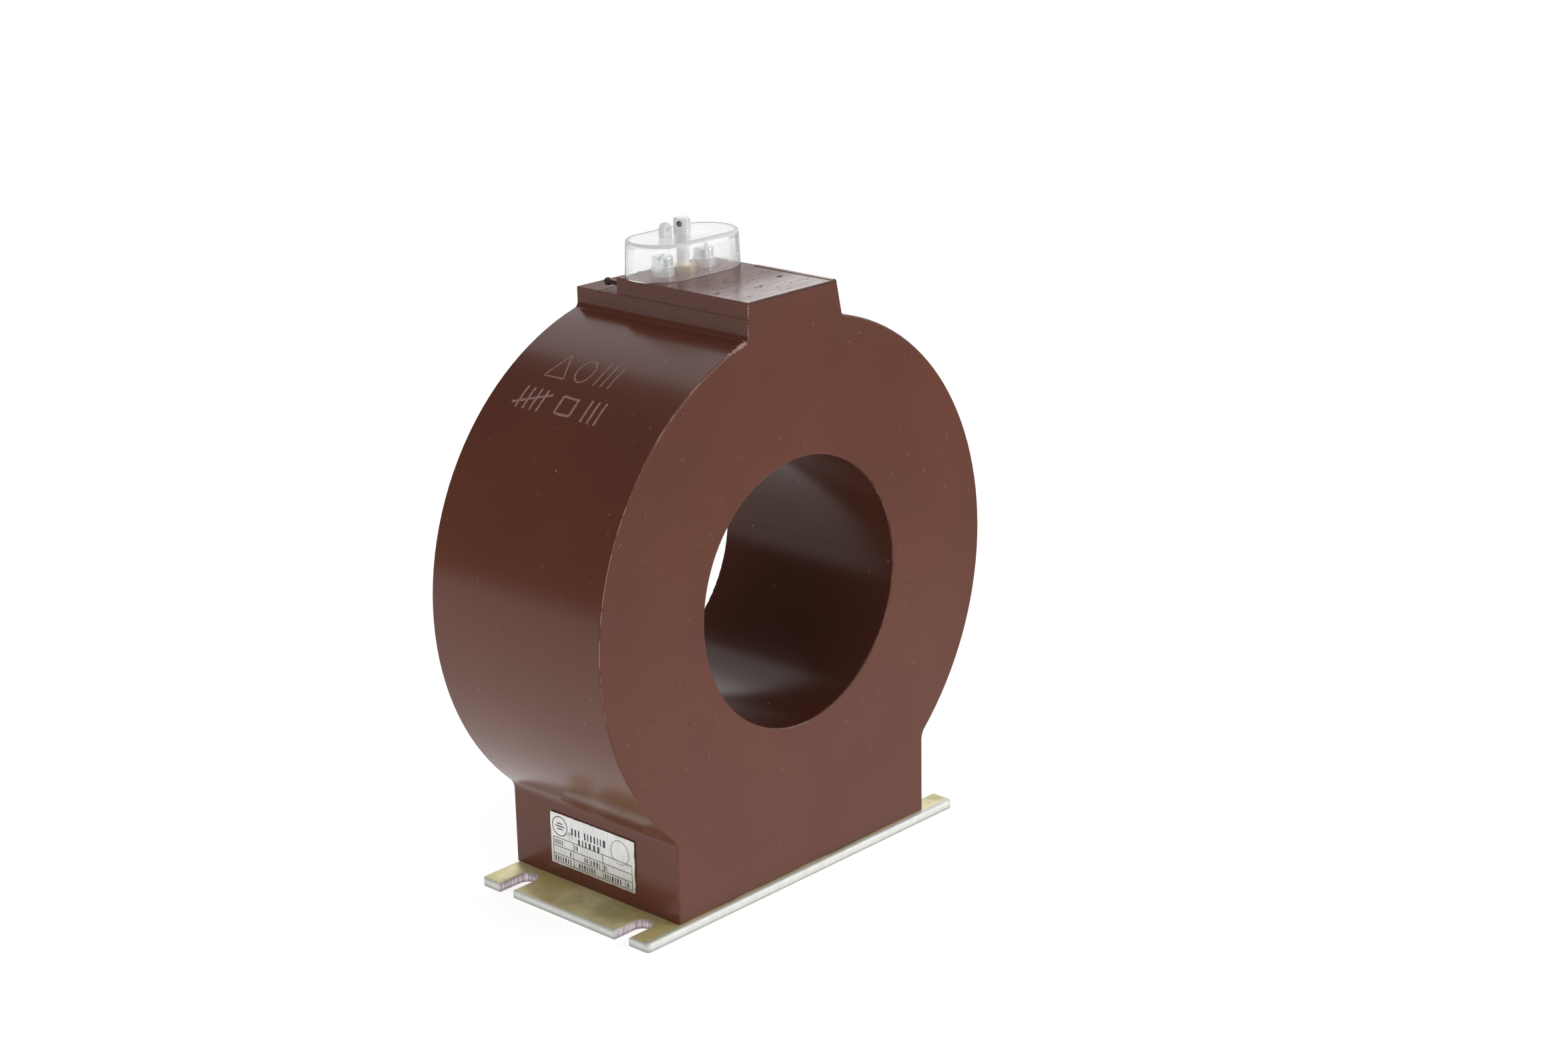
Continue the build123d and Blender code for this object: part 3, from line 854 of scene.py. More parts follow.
class TRANSFORMER_OT_wear(bpy.types.Operator):
    """Adds the chips, the hand-scratched strokes, the fine scratches and the poured face's pits"""

    bl_idname = "transformer.wear"
    bl_label = "Add Chips and Scratches"

    def execute(self, context):
        look = context.scene.resin_finish
        rng = np.random.default_rng(WEAR_SEED)
        pale = scratch_material("chipped_resin", shade(look.chipped, 1.4), look.chipped)
        points, out, sizes = rim_path(rng, look.chips)
        piece = link_mesh("edge_chips", *flakes(points, out, sizes, rng))
        finish_piece(piece, pale)

        scored = scratch_material("scored_resin", look.scratched, shade(look.scratched, 0.68))
        strokes_piece("tally_marks", scored_marks(rng), scored)
        faint = scratch_material("faint_scratch", shade(look.scratched, 0.9), shade(look.body, 1.6))
        strokes_piece("fine_scratches", hairlines(rng, look.hairs), faint)
        dark = scratch_material("dark_pits", shade(look.body, 0.5), shade(look.body, 0.3), 0.0)
        strokes_piece("pour_marks", pour_marks(rng, look.pits), dark)
        return {"FINISHED"}


# The base plate


def slot_bands(tree, place):
    """A mask of the two bands along X that the open slots lie in, short of the plate's ends."""
    rows = [apart(tree, place["Y"], row) for row in SLOT_ROWS]
    low, high = SLOT_HALF - 0.1 * MM, SLOT_HALF + 0.4 * MM
    near_row = [ramp(tree, away, low, high, 1.0, 0.0) for away in rows]
    along = apart(tree, place["X"], PLATE_MIDDLE)
    inside = ramp(tree, along, PLATE_HALF - 0.8 * MM, PLATE_HALF - 0.3 * MM, 1.0, 0.0)
    return product(tree, greatest(tree, *near_row), inside)


def zinc_material(look):
    """Yellow passivated zinc: olive clouds, pale specks, bright punched edges, violet slot walls, and a
    painted highlight on the strip in front of the casting.
    """
    material, tree, shader = new_material("passivated_zinc", Metallic=0.3)
    place = split(tree, coordinate(tree))
    worn = node(tree, "ShaderNodeBevel", {"Radius": look.rounding}, samples=6).outputs[0]
    facing = split(tree, worn)

    # The face: clouds, tints, smoky stains and grit
    clouds = effect(tree, "Uneven", Scale=34.0, Detail=5.0)
    base = mixed(tree, ramp(tree, clouds, 0.42, 0.60), shade(look.olive, 0.88), look.silver)
    tints = effect(tree, "Uneven", Scale=75.0, Detail=3.0)
    base = mixed(tree, ramp(tree, tints, 0.55, 0.8, 0.0, 0.5), base, look.slot)
    smoky = effect(tree, "Uneven", Scale=52.0, Detail=4.0)
    base = mixed(tree, ramp(tree, smoky, 0.50, 0.68, 0.0, 0.5), base, shade(look.olive, 0.45))
    grit = effect(tree, "Specks", Scale=520.0, Size=0.34, Share=0.20)
    base = mixed(tree, product(tree, grit, 0.8), base, (1.0, 1.0, 0.92))
    dark = effect(tree, "Specks", Scale=420.0, Size=0.3, Share=0.2)
    base = mixed(tree, product(tree, dark, 0.45), base, shade(look.olive, 0.3))

    # The punched edges are bright; the strip of the face in front of the casting gets the same pale
    # colour as a painted highlight
    side = ramp(tree, maths(tree, "ABSOLUTE", facing["Z"]), 0.82, 0.985, 1.0, 0.0)
    painted_highlight_strip = ramp(tree, place["Y"], FRONT_Y - 0.3 * MM, FRONT_Y - 1.0 * MM)
    streaky = effect(tree, "Uneven", Scale=260.0, Detail=3.0, Stretch_Z=0.5)
    pale = mixed(tree, ramp(tree, streaky, 0.35, 0.7), look.edge, shade(look.edge, 0.92))
    lines = effect(tree, "Uneven", Scale=1500.0, Detail=2.0, Stretch_Z=0.06)
    violet = mixed(tree, ramp(tree, lines, 0.38, 0.62), shade(look.slot, 0.75), shade(look.slot, 1.5))
    pale = mixed(tree, slot_bands(tree, place), pale, violet)
    base = mixed(tree, greatest(tree, side, painted_highlight_strip), base, pale)

    rough = effect(tree, "Uneven", Scale=180.0, Detail=4.0)
    rough = ramp(tree, rough, 0.3, 0.7, 0.36, 0.50)
    bumped(tree, shader, effect(tree, "Uneven", Scale=1300.0, Detail=3.0), 0.02 * MM, 0.6, worn)
    feed(tree, shader, Base_Color=base, Roughness=rough)
    return material


class TRANSFORMER_OT_base_plate(bpy.types.Operator):
    """Gives the base plate its passivated zinc"""

    bl_idname = "transformer.base_plate"
    bl_label = "Finish the Base Plate"

    def execute(self, context):
        dress(zinc_material(context.scene.plate_finish), "base_plate")
        return {"FINISHED"}


# The rating plate


def label_material(look):
    """Satin aluminium sheet, gold brown along its worn edges."""
    material, tree, shader = new_material(
        "label_metal", Metallic=0.7, IOR=1.8, Specular_IOR_Level=0.9
    )
    place = split(tree, coordinate(tree))
    grain = effect(tree, "Uneven", Scale=420.0, Detail=4.0, Stretch_Z=0.3)
    base = mixed(tree, ramp(tree, grain, 0.3, 0.7), look.metal, shade(look.metal, 0.93))
    edges = []
    outer = 0.15 * MM
    for axis, along, band in ((1, place["Y"], 0.55 * MM), (2, place["Z"], 0.50 * MM)):
        low, high = LABEL_LOW[axis], LABEL_HIGH[axis]
        edges.append(ramp(tree, along, low + outer, low + band, 1.0, 0.0))
        edges.append(ramp(tree, along, high - band, high - outer))
    broken = ramp(tree, effect(tree, "Uneven", Scale=240.0, Detail=3.0), 0.44, 0.6)
    base = mixed(tree, product(tree, greatest(tree, *edges), broken, 0.85), base, look.worn)
    specks = effect(tree, "Specks", Scale=900.0, Size=0.2, Share=0.06)
    base = mixed(tree, product(tree, specks, 0.5), base, shade(look.metal, 0.55))
    rough = ramp(tree, grain, 0.3, 0.7, 0.30, 0.42)
    bumped(tree, shader, effect(tree, "Uneven", Scale=160.0, Detail=2.0), 0.05 * MM, 0.4)
    feed(tree, shader, Base_Color=base, Roughness=rough)
    return material


def ink_material(look):
    """Dark print, a little uneven where it has worn."""
    material, tree, shader = new_material("label_ink", Roughness=0.5)
    worn = effect(tree, "Uneven", Scale=1800.0, Detail=3.0)
    base = mixed(tree, ramp(tree, worn, 0.45, 0.75), look.ink, shade(look.metal, 0.12))
    feed(tree, shader, Base_Color=base)
    return material


def stamp_material(look):
    """White metal of the stamped fields, dull in places."""
    material, tree, shader = new_material("stamped_metal", Roughness=0.35)
    dull = effect(tree, "Uneven", Scale=2600.0, Detail=3.0)
    base = mixed(tree, ramp(tree, dull, 0.4, 0.7), WHITE[:3], shade(look.metal, 0.93))
    feed(tree, shader, Base_Color=base)
    return material


def rivet_material():
    """Bright soft metal of the drive rivets."""
    material, tree, shader = new_material("rivet_metal", Metallic=0.1)
    grain = effect(tree, "Uneven", Scale=900.0, Detail=3.0)
    base = mixed(tree, ramp(tree, grain, 0.35, 0.7), (1.0, 1.0, 0.99), (0.94, 0.94, 0.93))
    feed(tree, shader, Base_Color=base, Roughness=ramp(tree, grain, 0.3, 0.7, 0.32, 0.46))
    return material


def label_sheet(look):
    """The sheet, bent off the wall: a grid whose square corners are pulled in to a radius.

    A point in a corner square at offset d from the radius' centre is moved to d max(|d|) / length(d),
    which turns the square's outline into a quarter circle.
    """
    lines = []
    for size, count in zip(LABEL_SIZE, (42, 22)):
        fine = np.linspace(0, look.corner, 5)
        middle = np.linspace(look.corner, size - look.corner, count)[1:-1]
        lines.append(np.concatenate([fine, middle, size - fine[::-1]]))
    grid = np.stack(np.meshgrid(*lines), axis=-1)
    half = LABEL_SIZE / 2
    offset = grid - half
    past = np.maximum(np.abs(offset) - (half - look.corner), 0.0)
    reach = np.maximum(np.linalg.norm(past, axis=-1), 1e-9)
    past *= (past.max(axis=-1) / reach)[..., None]
    rounded = np.sign(offset) * (np.minimum(np.abs(offset), half - look.corner) + past) + half
    return label_face(rounded[:, ::-1, 0], rounded[:, ::-1, 1], 0.0)


def blocks(rng, start, stop, top, height, count):
    """A row of plain upright blocks of uneven width that fills a field from start to stop."""
    edges = rng.uniform(0.8, 1.2, count)
    edges = np.concatenate([[0], np.cumsum(edges)]) / edges.sum() * (stop - start) + start
    gap = 0.58 * (stop - start) / count
    row = []
    for low, high in zip(edges[:-1], edges[1:]):
        middle = (low + high - gap) / 2
        row.append((np.array([[middle, top], [middle, top + height]]), high - low - gap))
    return row


def label_print(look, rng):
    """The print, in millimetres on the plate: frame lines, circles, and rows of plain blocks.

    Places are shares of the plate's width and height. Gives the open lines and the closed ones.
    """
    line = look.frame_line / MM
    wide, tall = LABEL_SIZE / MM
    left, right = 0.03, 0.97
    rows = [0.48 * tall, 0.645 * tall, 0.80 * tall, 0.955 * tall]
    bars = [(np.array([[left * wide, y], [right * wide, y]]), line) for y in rows]
    uprights = ((left, 0, 3), (0.27, 0, 3), (0.62, 0, 3), (right, 0, 3), (0.465, 1, 2), (0.885, 2, 3))
    for x, first, last in uprights:
        bars.append((np.array([[x * wide, rows[first]], [x * wide, rows[last]]]), line))

    # Headings: start, stop, top, height and the number of blocks
    headings = (
        (0.25, 0.37, 0.20, 0.135, 3),
        (0.405, 0.68, 0.20, 0.135, 7),
        (0.33, 0.61, 0.365, 0.115, 6),
    )
    for start, stop, top, height, count in headings:
        bars += blocks(rng, start * wide, stop * wide, top * tall, height * tall, count)

    # Fields in the frame: start, stop, row and the number of blocks
    fields = (
        (0.045, 0.15, 0, 5),
        (0.285, 0.335, 0, 2),
        (0.225, 0.255, 1, 1),
        (0.40, 0.45, 1, 2),
        (0.48, 0.60, 1, 4),
        (0.635, 0.68, 1, 2),
        (0.045, 0.25, 2, 7),
        (0.33, 0.54, 2, 7),
        (0.64, 0.85, 2, 7),
        (0.91, 0.945, 2, 1),
    )
    for start, stop, row, count in fields:
        top = rows[row] + 0.035 * tall
        bars += blocks(rng, start * wide, stop * wide, top, 0.095 * tall, count)

    # The emblem: three bars in a ring, and a plain ring on the right
    emblem = np.array([0.112 * wide, 0.245 * tall])
    for drop, half in ((-1.3, 1.7), (0.0, 2.7), (1.3, 1.7)):
        bars.append((emblem + np.array([[-half, drop], [half, drop]]), 0.55))
    circles = [(arc(emblem, 4.5, 0, 352.5, 48), 0.42)]
    circles.append((arc((0.83 * wide, 0.315 * tall), 5.5, 0, 352.5, 48), 0.24))
    return bars, circles


def label_stamps(rng):
    """Pale stamped fields, in millimetres on the plate: rows of narrow upright strokes.

    Each field is its start, stop and top, as shares of the plate, and the number of strokes.
    """
    wide, tall = LABEL_SIZE / MM
    fields = (
        (0.35, 0.59, 0.495, 7),
        (0.07, 0.19, 0.665, 4),
        (0.295, 0.38, 0.665, 3),
        (0.70, 0.85, 0.665, 5),
        (0.70, 0.80, 0.50, 3),
    )
    marks = []
    for start, stop, top, count in fields:
        marks += blocks(rng, start * wide, stop * wide, top * tall, 0.125 * tall, count)
    return marks


def on_label(lines, proud, closed=False):
    """Raised strokes on the plate's face from lines and widths in millimetres."""
    sunk = 0.05 * MM
    return [stroke(line * MM, width * MM, label_face, proud, sunk, closed) for line, width in lines]


class TRANSFORMER_OT_label(bpy.types.Operator):
    """Makes the bent rating plate with its plain print, and finishes its rivets"""

    bl_idname = "transformer.label"
    bl_label = "Make the Rating Plate"

    def execute(self, context):
        look = context.scene.label_finish
        rng = np.random.default_rng(PRINT_SEED)
        sheet = grid_piece("rating_sheet", label_sheet(look), smooth=40)
        body = sheet.modifiers.new("thickness", "SOLIDIFY")
        body.thickness = look.thickness
        body.offset = -1.0
        finish_piece(sheet, label_material(look), ["rating_plate"])

        bars, circles = label_print(look, rng)
        bars = [(resampled(line, 1.0), width) for line, width in bars]
        printed = on_label(bars, 0.03 * MM) + on_label(circles, 0.03 * MM, closed=True)
        strokes_piece("rating_print", printed, ink_material(look))
        stamped = on_label(label_stamps(rng), 0.10 * MM)
        strokes_piece("rating_stamps", stamped, stamp_material(look))
        dress(rivet_material(), "rating_plate_rivets")
        return {"FINISHED"}


# The clear cover


def long_outline(radius):
    """The cover's plan at a radius: radius (cos t, sin t) moved by plus or minus half the straight.

    Each point keeps its own direction t, so outlines of different radii lie evenly inside each other.
    """
    turn = np.radians(np.linspace(-90, 90, 49))
    lean = np.linspace(-1, 1, 15)[1:-1]
    right = np.stack([np.cos(turn), np.sin(turn), np.ones_like(turn)], axis=1)
    top = np.stack([np.zeros_like(lean), np.ones_like(lean), -lean], axis=1)
    half = np.concatenate([right, top])
    x, y, aside = np.concatenate([half, -half]).T
    return np.stack([radius * x + COVER_STRAIGHT / 2 * aside, radius * y], axis=1)


def cover_shell(look):
    """The cover's closed wall, as rows of outlines from the outer foot over the top and back inside.

    The walls lean in by height times tan(draft), with a rounded edge at the top. The top's rows blend
    the outline into the screw's hole by (1 - s) outline + s circle, and small sums of sines in the
    direction round the cover make the moulding's waves.
    """
    slope = math.tan(look.draft)
    ceiling = look.height - look.wall
    inner_edge = 0.6 * MM

    def wall(levels, inset):
        """Rows up a leaning wall: the outline's radius at each level."""
        return [(COVER_RADIUS - inset - slope * level, level) for level in levels]

    def rounded_edge(level, inset, size, turns):
        """Rows over a round of a given size, up to a level."""
        turns = np.radians(turns)
        base = COVER_RADIUS - inset - slope * level - size
        return list(zip(base + size * np.cos(turns), level - size + size * np.sin(turns)))

    def loop(size, level):
        """One row's outline, with the waves."""
        flat = long_outline(size)
        turn = np.arctan2(flat[:, 1], flat[:, 0])
        swell = 1 + 0.0016 * (np.sin(7 * turn) + np.sin(13 * turn + 1) + np.sin(29 * turn))
        return np.column_stack([flat * swell[:, None], np.full(len(flat), level)])

    def roof(level, size, shares):
        """Outlines that close in on the screw's hole."""
        flat = long_outline(size)
        turn = np.arctan2(flat[:, 1], flat[:, 0])
        hole = look.hole * np.stack([np.cos(turn), np.sin(turn)], axis=1)
        height = np.full(len(flat), level)
        return [np.column_stack([(1 - s) * flat + s * hole, height]) for s in shares]

    outer = wall(np.linspace(0, look.height - look.edge, 14), 0.0)
    outer += rounded_edge(look.height, 0.0, look.edge, np.linspace(12, 84, 6))
    inner = rounded_edge(ceiling, look.wall, inner_edge, np.linspace(84, 12, 4))
    inner += wall(np.linspace(ceiling - inner_edge, 0, 12), look.wall)
    shares = np.concatenate([[0, 0.04, 0.08, 0.12, 0.16], np.linspace(0.2, 1, 9)])
    loops = [loop(*row) for row in outer]
    loops += roof(look.height, outer[-1][0] - 0.3 * look.edge, shares)
    loops += roof(ceiling, inner[0][0] - 0.2 * inner_edge, shares[::-1])
    loops += [loop(*row) for row in inner]
    return np.array(loops) + (*COVER_MIDDLE, COVER_LOW[2])


def cover_lug(look):
    """The seal wire's lug: a rounded section carried round its eye.

    At turn t round the eye and section turn v the point lies at the middle of eye and outline plus
    half their distance times a signed power of cos v, and across by half the thickness times one of
    sin v.
    """
    eye, sunk = 0.9 * MM, 0.15 * MM
    eye_height = look.lug_height - look.lug_radius
    turn = np.linspace(0, 2 * math.pi, 65)[:-1]
    side = look.lug_radius / np.maximum(np.abs(np.cos(turn)), 1e-6)
    down = (eye_height + sunk) / np.maximum(-np.sin(turn), 1e-6)
    outline = np.where(np.sin(turn) >= 0, look.lug_radius, np.minimum(side, down))
    section = np.linspace(0, 2 * math.pi, 25)[:-1]
    across = np.sign(np.cos(section)) * np.abs(np.cos(section)) ** 0.55
    thick = np.sign(np.sin(section)) * np.abs(np.sin(section)) ** 0.7
    t, c = np.meshgrid(turn, across, indexing="ij")
    reach = (outline[:, None] + eye) / 2 + (outline[:, None] - eye) / 2 * c
    x = COVER_MIDDLE[0] - look.lug_offset + reach * np.cos(t)
    y = COVER_MIDDLE[1] + look.lug_thickness / 2 * np.broadcast_to(thick, t.shape)
    z = COVER_LOW[2] + look.height + eye_height + reach * np.sin(t)
    return np.stack([x, y, z], axis=-1)


def milky_faces(piece, look, walls):
    """Gives the second material to the top edge's faces and the rib's, which follow the walls'."""
    middles = np.zeros(3 * len(piece.data.polygons))
    piece.data.polygons.foreach_get("center", middles)
    x, y, z = middles.reshape(-1, 3).T
    aside = np.maximum(np.abs(x - COVER_MIDDLE[0]) - COVER_STRAIGHT / 2, 0.0)
    inward = COVER_RADIUS - np.hypot(aside, y - COVER_MIDDLE[1])
    milky = (z > COVER_LOW[2] + look.height - 1.2 * MM) & (inward < look.rim_width)
    milky[walls:] = True
    piece.data.polygons.foreach_set("material_index", milky.astype(int))


def crumb_places(look, rng):
    """Places, outward directions and sizes of crumbs: on the near wall's outside, then on the block.

    A crumb at height b on the wall lies b times tan(draft) further in than the wall's foot.
    """
    on_wall, on_block = look.wall_crumbs, look.block_crumbs
    a = rng.normal(1.2, 1.0, on_wall) * MM
    b = np.abs(rng.normal(0, 4.0, on_wall)) * MM + 0.2 * MM
    y = COVER_LOW[1] + math.tan(look.draft) * b
    wall_places = np.stack([COVER_MIDDLE[0] + a, y, COVER_LOW[2] + b], axis=1)
    x = COVER_MIDDLE[0] + rng.normal(2.5, 3.2, on_block) * MM
    y = COVER_LOW[1] + look.wall + (0.4 + np.abs(rng.normal(0, 2.4, on_block))) * MM
    block_places = np.stack([x, y, np.full(on_block, BLOCK_TOP)], axis=1)
    places = np.concatenate([wall_places, block_places])
    outward = np.repeat([[0.0, -1.0, 0.2], [0.0, 0.0, 1.0]], [on_wall, on_block], axis=0)
    outward += rng.normal(0, 0.3, outward.shape)
    return places, outward, rng.uniform(0.15, 0.45, len(places)) * MM


def clear_material(name, haze, matt):
    """Moulded plastic, more or less milky and matt, with waves, dust, a duller roof and smears.

    The smears lie low on the walls, more of them right of the middle than left.
    """
    clear = 0.99
    material, tree, shader = new_material(
        name, Base_Color=(clear, clear, clear), IOR=1.32, Transmission_Weight=1.0 - haze
    )
    place, facing = split(tree, coordinate(tree)), split(tree, coordinate(tree, "Normal"))
    clouds = effect(tree, "Uneven", Scale=130.0, Detail=4.0)
    dust = effect(tree, "Specks", Scale=800.0, Size=0.3, Share=0.12)
    smeared = product(
        tree,
        ramp(tree, place["X"], -1 * MM, 3 * MM, 0.25, 1.0),
        ramp(tree, place["Z"], BLOCK_TOP + 12.3 * MM, BLOCK_TOP + 4.3 * MM),
        ramp(tree, clouds, 0.25, 0.55, 0.3, 1.0),
    )
    rough = total(
        tree,
        ramp(tree, clouds, 0.3, 0.75, matt, matt + 0.05),
        product(tree, dust, 0.35),
        ramp(tree, facing["Z"], 0.95, 0.99, 0.0, 0.14),
    )
    rough = maths(tree, "ADD", rough, product(tree, smeared, 0.22), clamp=True)
    waves = effect(tree, "Uneven", Scale=140.0, Detail=2.0, Stretch_Z=0.3)
    bumped(tree, shader, waves, 0.12 * MM, 0.5)
    feed(tree, shader, Roughness=rough)
    return material


class TRANSFORMER_OT_cover(bpy.types.Operator):
    """Makes the clear cover with its rib and lug, and the crumbs on it and under it"""

    bl_idname = "transformer.cover"
    bl_label = "Make the Clear Cover"

    def execute(self, context):
        look = context.scene.cover_shape
        shell = cover_shell(look)
        walls = grid_faces(*shell.shape[:2], closed_across=True, closed_along=True)
        ceiling = look.height - look.wall
        rib = np.array([[0.0, ceiling - look.rib_length], [0.0, ceiling - 0.3 * MM]])
        parts = [(shell, walls), stroke(rib, look.rib_width, inner_wall, look.rib_depth, 0.1 * MM)]
        cover = link_mesh("sealed_cover", *joined(parts), smooth=50)
        cover.visible_shadow = False
        clear = clear_material("clear_moulding", look.haze, 0.015)
        finish_piece(cover, clear, ["terminal_cover"])
        cover.data.materials.append(clear_material("milky_rim", look.rim_haze, 0.5))
        milky_faces(cover, look, len(walls))

        section = cover_lug(look)
        faces = grid_faces(*section.shape[:2], closed_across=True, closed_along=True)
        lug = link_mesh("seal_lug", section, faces, smooth=50)
        lug.visible_shadow = False
        finish_piece(lug, clear_material("milky_moulding", look.lug_haze, 0.4))

        rng = np.random.default_rng(CRUMB_SEED)
        crumbs = link_mesh("cover_crumbs", *flakes(*crumb_places(look, rng), rng))
        chipped = context.scene.resin_finish.chipped
        pale = scratch_material("resin_crumbs", (1.0, 0.98, 0.96), shade(chipped, 1.7))
        finish_piece(crumbs, pale)
        return {"FINISHED"}


# Small metal pieces and what is cast in


def metal_material(name, bright, dull, metallic, smooth, rough, hole=None, **stretch):
    """Plated or turned metal: fine lines or mottling between two colours, and painted shade in a hole.
    """
    material, tree, shader = new_material(name, Metallic=metallic)
    grain = effect(tree, "Uneven", Scale=1500.0, Detail=3.0, **stretch)
    base = mixed(tree, ramp(tree, grain, 0.3, 0.7), bright, dull)
    if hole is not None:
        # Painted shade: near black in the hole
        base = mixed(tree, hole(tree), base, (0.10, 0.10, 0.10))
    feed(tree, shader, Base_Color=base, Roughness=ramp(tree, grain, 0.3, 0.7, smooth, rough))
    bumped(tree, shader, grain, 0.008 * MM, 0.4)
    return material


def wire_hole_shade(tree):
    """A mask of the sealing screw's cross hole, where shade is painted, from how far a point is from the
    hole's axis.
    """
    turn = math.radians(WIRE_HOLE_TURN)
    along = (math.cos(turn), math.sin(turn), 0.0)
    middle = (*COVER_MIDDLE, SCREW_TOP - WIRE_HOLE_DROP)
    offset = vector_maths(tree, "SUBTRACT", coordinate(tree), middle)["Vector"]
    square = vector_maths(tree, "CROSS_PRODUCT", offset, along)["Vector"]
    away = vector_maths(tree, "LENGTH", square)["Value"]
    low, high = WIRE_HOLE_RADIUS + 0.02 * MM, WIRE_HOLE_RADIUS + 0.08 * MM
    return ramp(tree, away, low, high, 1.0, 0.0)


class TRANSFORMER_OT_metal(bpy.types.Operator):
    """Gives the screws, washers, bushes and inserts their finishes"""

    bl_idname = "transformer.metal"
    bl_label = "Finish the Small Metal Pieces"

    def execute(self, context):
        turned = {"Stretch_X": 0.03, "Stretch_Y": 0.03, "Stretch_Z": 2.0}
        white, grey = (1.0, 1.0, 1.0), (0.94, 0.94, 0.94)
        steel = metal_material("turned_steel", white, grey, 0.15, 0.26, 0.34, wire_hole_shade, **turned)
        dress(steel, "sealing_screw")

        pale, blue = (0.97, 1.0, 1.0), (0.80, 0.88, 0.92)
        zinc = metal_material("blue_zinc", pale, blue, 0.55, 0.16, 0.30)
        dress(zinc, "terminal_bush_left", "terminal_bush_right", "terminal_screws")
        dress(zinc, "terminal_flat_washers", "terminal_spring_washers")

        gold, tan = (0.66, 0.52, 0.28), (0.50, 0.38, 0.18)
        brass = metal_material("turned_brass", gold, tan, 0.9, 0.28, 0.4, **turned)
        dress(brass, "cover_insert", "base_plate_inserts")

        brown, black = (0.120, 0.072, 0.045), (0.050, 0.028, 0.020)
        dress(metal_material("dark_brass", brown, black, 0.5, 0.3, 0.5), "side_screw")

        light, dark = (0.58, 0.58, 0.55), (0.42, 0.42, 0.40)
        dress(metal_material("plated_steel", light, dark, 1.0, 0.35, 0.5), "base_plate_screws")
        return {"FINISHED"}


def wound_material(name, first, second, metallic, roughness, by_turn, lines):
    """Something wound, in two colours: fine lines side by side round the ring, or layers outwards."""
    material, tree, shader = new_material(name, Metallic=metallic, Roughness=roughness)
    radius, turn = effects(tree, "Around")
    wave = maths(tree, "SINE", product(tree, turn if by_turn else radius, lines))
    clouds = effect(tree, "Uneven", Scale=90.0, Detail=3.0)
    height = total(tree, product(tree, wave, 0.5), clouds)
    feed(tree, shader, Base_Color=mixed(tree, ramp(tree, height, 0.0, 1.0), first, second))
    bumped(tree, shader, wave, 0.1 * MM, 0.6)
    return material


def sleeve_material():
    """Red sleeve of the winding's leads."""
    material, tree, shader = new_material("lead_sleeve", Roughness=0.4)
    clouds = effect(tree, "Uneven", Scale=300.0, Detail=3.0)
    base = mixed(tree, ramp(tree, clouds, 0.3, 0.7), (0.52, 0.07, 0.05), (0.40, 0.05, 0.04))
    feed(tree, shader, Base_Color=base)
    return material


class TRANSFORMER_OT_coil(bpy.types.Operator):
    """Gives the core, its insulation, the winding, the tape and the leads their finishes"""

    bl_idname = "transformer.coil"
    bl_label = "Finish the Cast-in Coil"

    def execute(self, context):
        strip_thickness = 0.3 * MM
        layers = 2 * math.pi / strip_thickness
        light, dark = (0.36, 0.37, 0.40), (0.20, 0.21, 0.23)
        core = wound_material("core_strip", light, dark, 0.9, 0.45, False, layers)
        dress(core, "toroidal_core")

        light, dark = (0.52, 0.20, 0.08), (0.30, 0.09, 0.03)
        wire = wound_material("enamelled_wire", light, dark, 0.5, 0.3, True, 300.0)
        dress(wire, "secondary_winding")

        light, dark = (0.78, 0.73, 0.58), (0.60, 0.54, 0.40)
        tape = wound_material("cotton_tape", light, dark, 0.0, 0.9, True, 36.0)
        dress(tape, "winding_tape", "core_insulation")
        dress(sleeve_material(), "winding_lead_left", "winding_lead_right")
        return {"FINISHED"}


# The stage


def aim(thing, where, forward, roll=0.0):
    """Puts a lamp or camera at a place, looking along a direction and rolled by an angle."""
    forward = forward / np.linalg.norm(forward)
    level = np.cross(forward, (0, 0, 1) if abs(forward[2]) < 0.99 else (0, 1, 0))
    level /= np.linalg.norm(level)
    upright = np.cross(level, forward)
    right = math.cos(roll) * level + math.sin(roll) * upright
    up = math.cos(roll) * upright - math.sin(roll) * level
    turn = np.eye(4)
    turn[:3, :3] = np.stack([right, up, -forward], axis=1)
    turn[:3, 3] = where
    thing.matrix_world = Matrix(turn.tolist())
    bpy.context.scene.collection.objects.link(thing)


def place_lamp(name, power_in_watts):
    """One of the soft square lamps, which the camera doesn't see."""
    size, where, target = LAMPS[name]
    data = bpy.data.lights.new(name, "AREA")
    data.energy = power_in_watts
    data.size = size
    lamp = bpy.data.objects.new(name, data)
    lamp.visible_camera = False
    aim(lamp, where, np.subtract(target, where))
    return lamp


def backdrop_world(look):
    """White behind the object, in metal and in glass; a plain fill on everything else."""
    world = bpy.data.worlds.new("studio")
    bpy.context.scene.world = world
    tree = empty_tree(world)
    path = node(tree, "ShaderNodeLightPath").outputs
    rays = ("Is Camera Ray", "Is Glossy Ray", "Is Transmission Ray")
    seen = greatest(tree, *(path[ray] for ray in rays))
    fill = node(tree, "ShaderNodeBackground", {"Color": WHITE, "Strength": look.fill})
    white = node(tree, "ShaderNodeBackground", {"Color": WHITE, "Strength": 1.0})
    both = node(tree, "ShaderNodeMixShader", {0: seen, 1: fill.outputs[0], 2: white.outputs[0]})
    node(tree, "ShaderNodeOutputWorld", {0: both.outputs[0]})


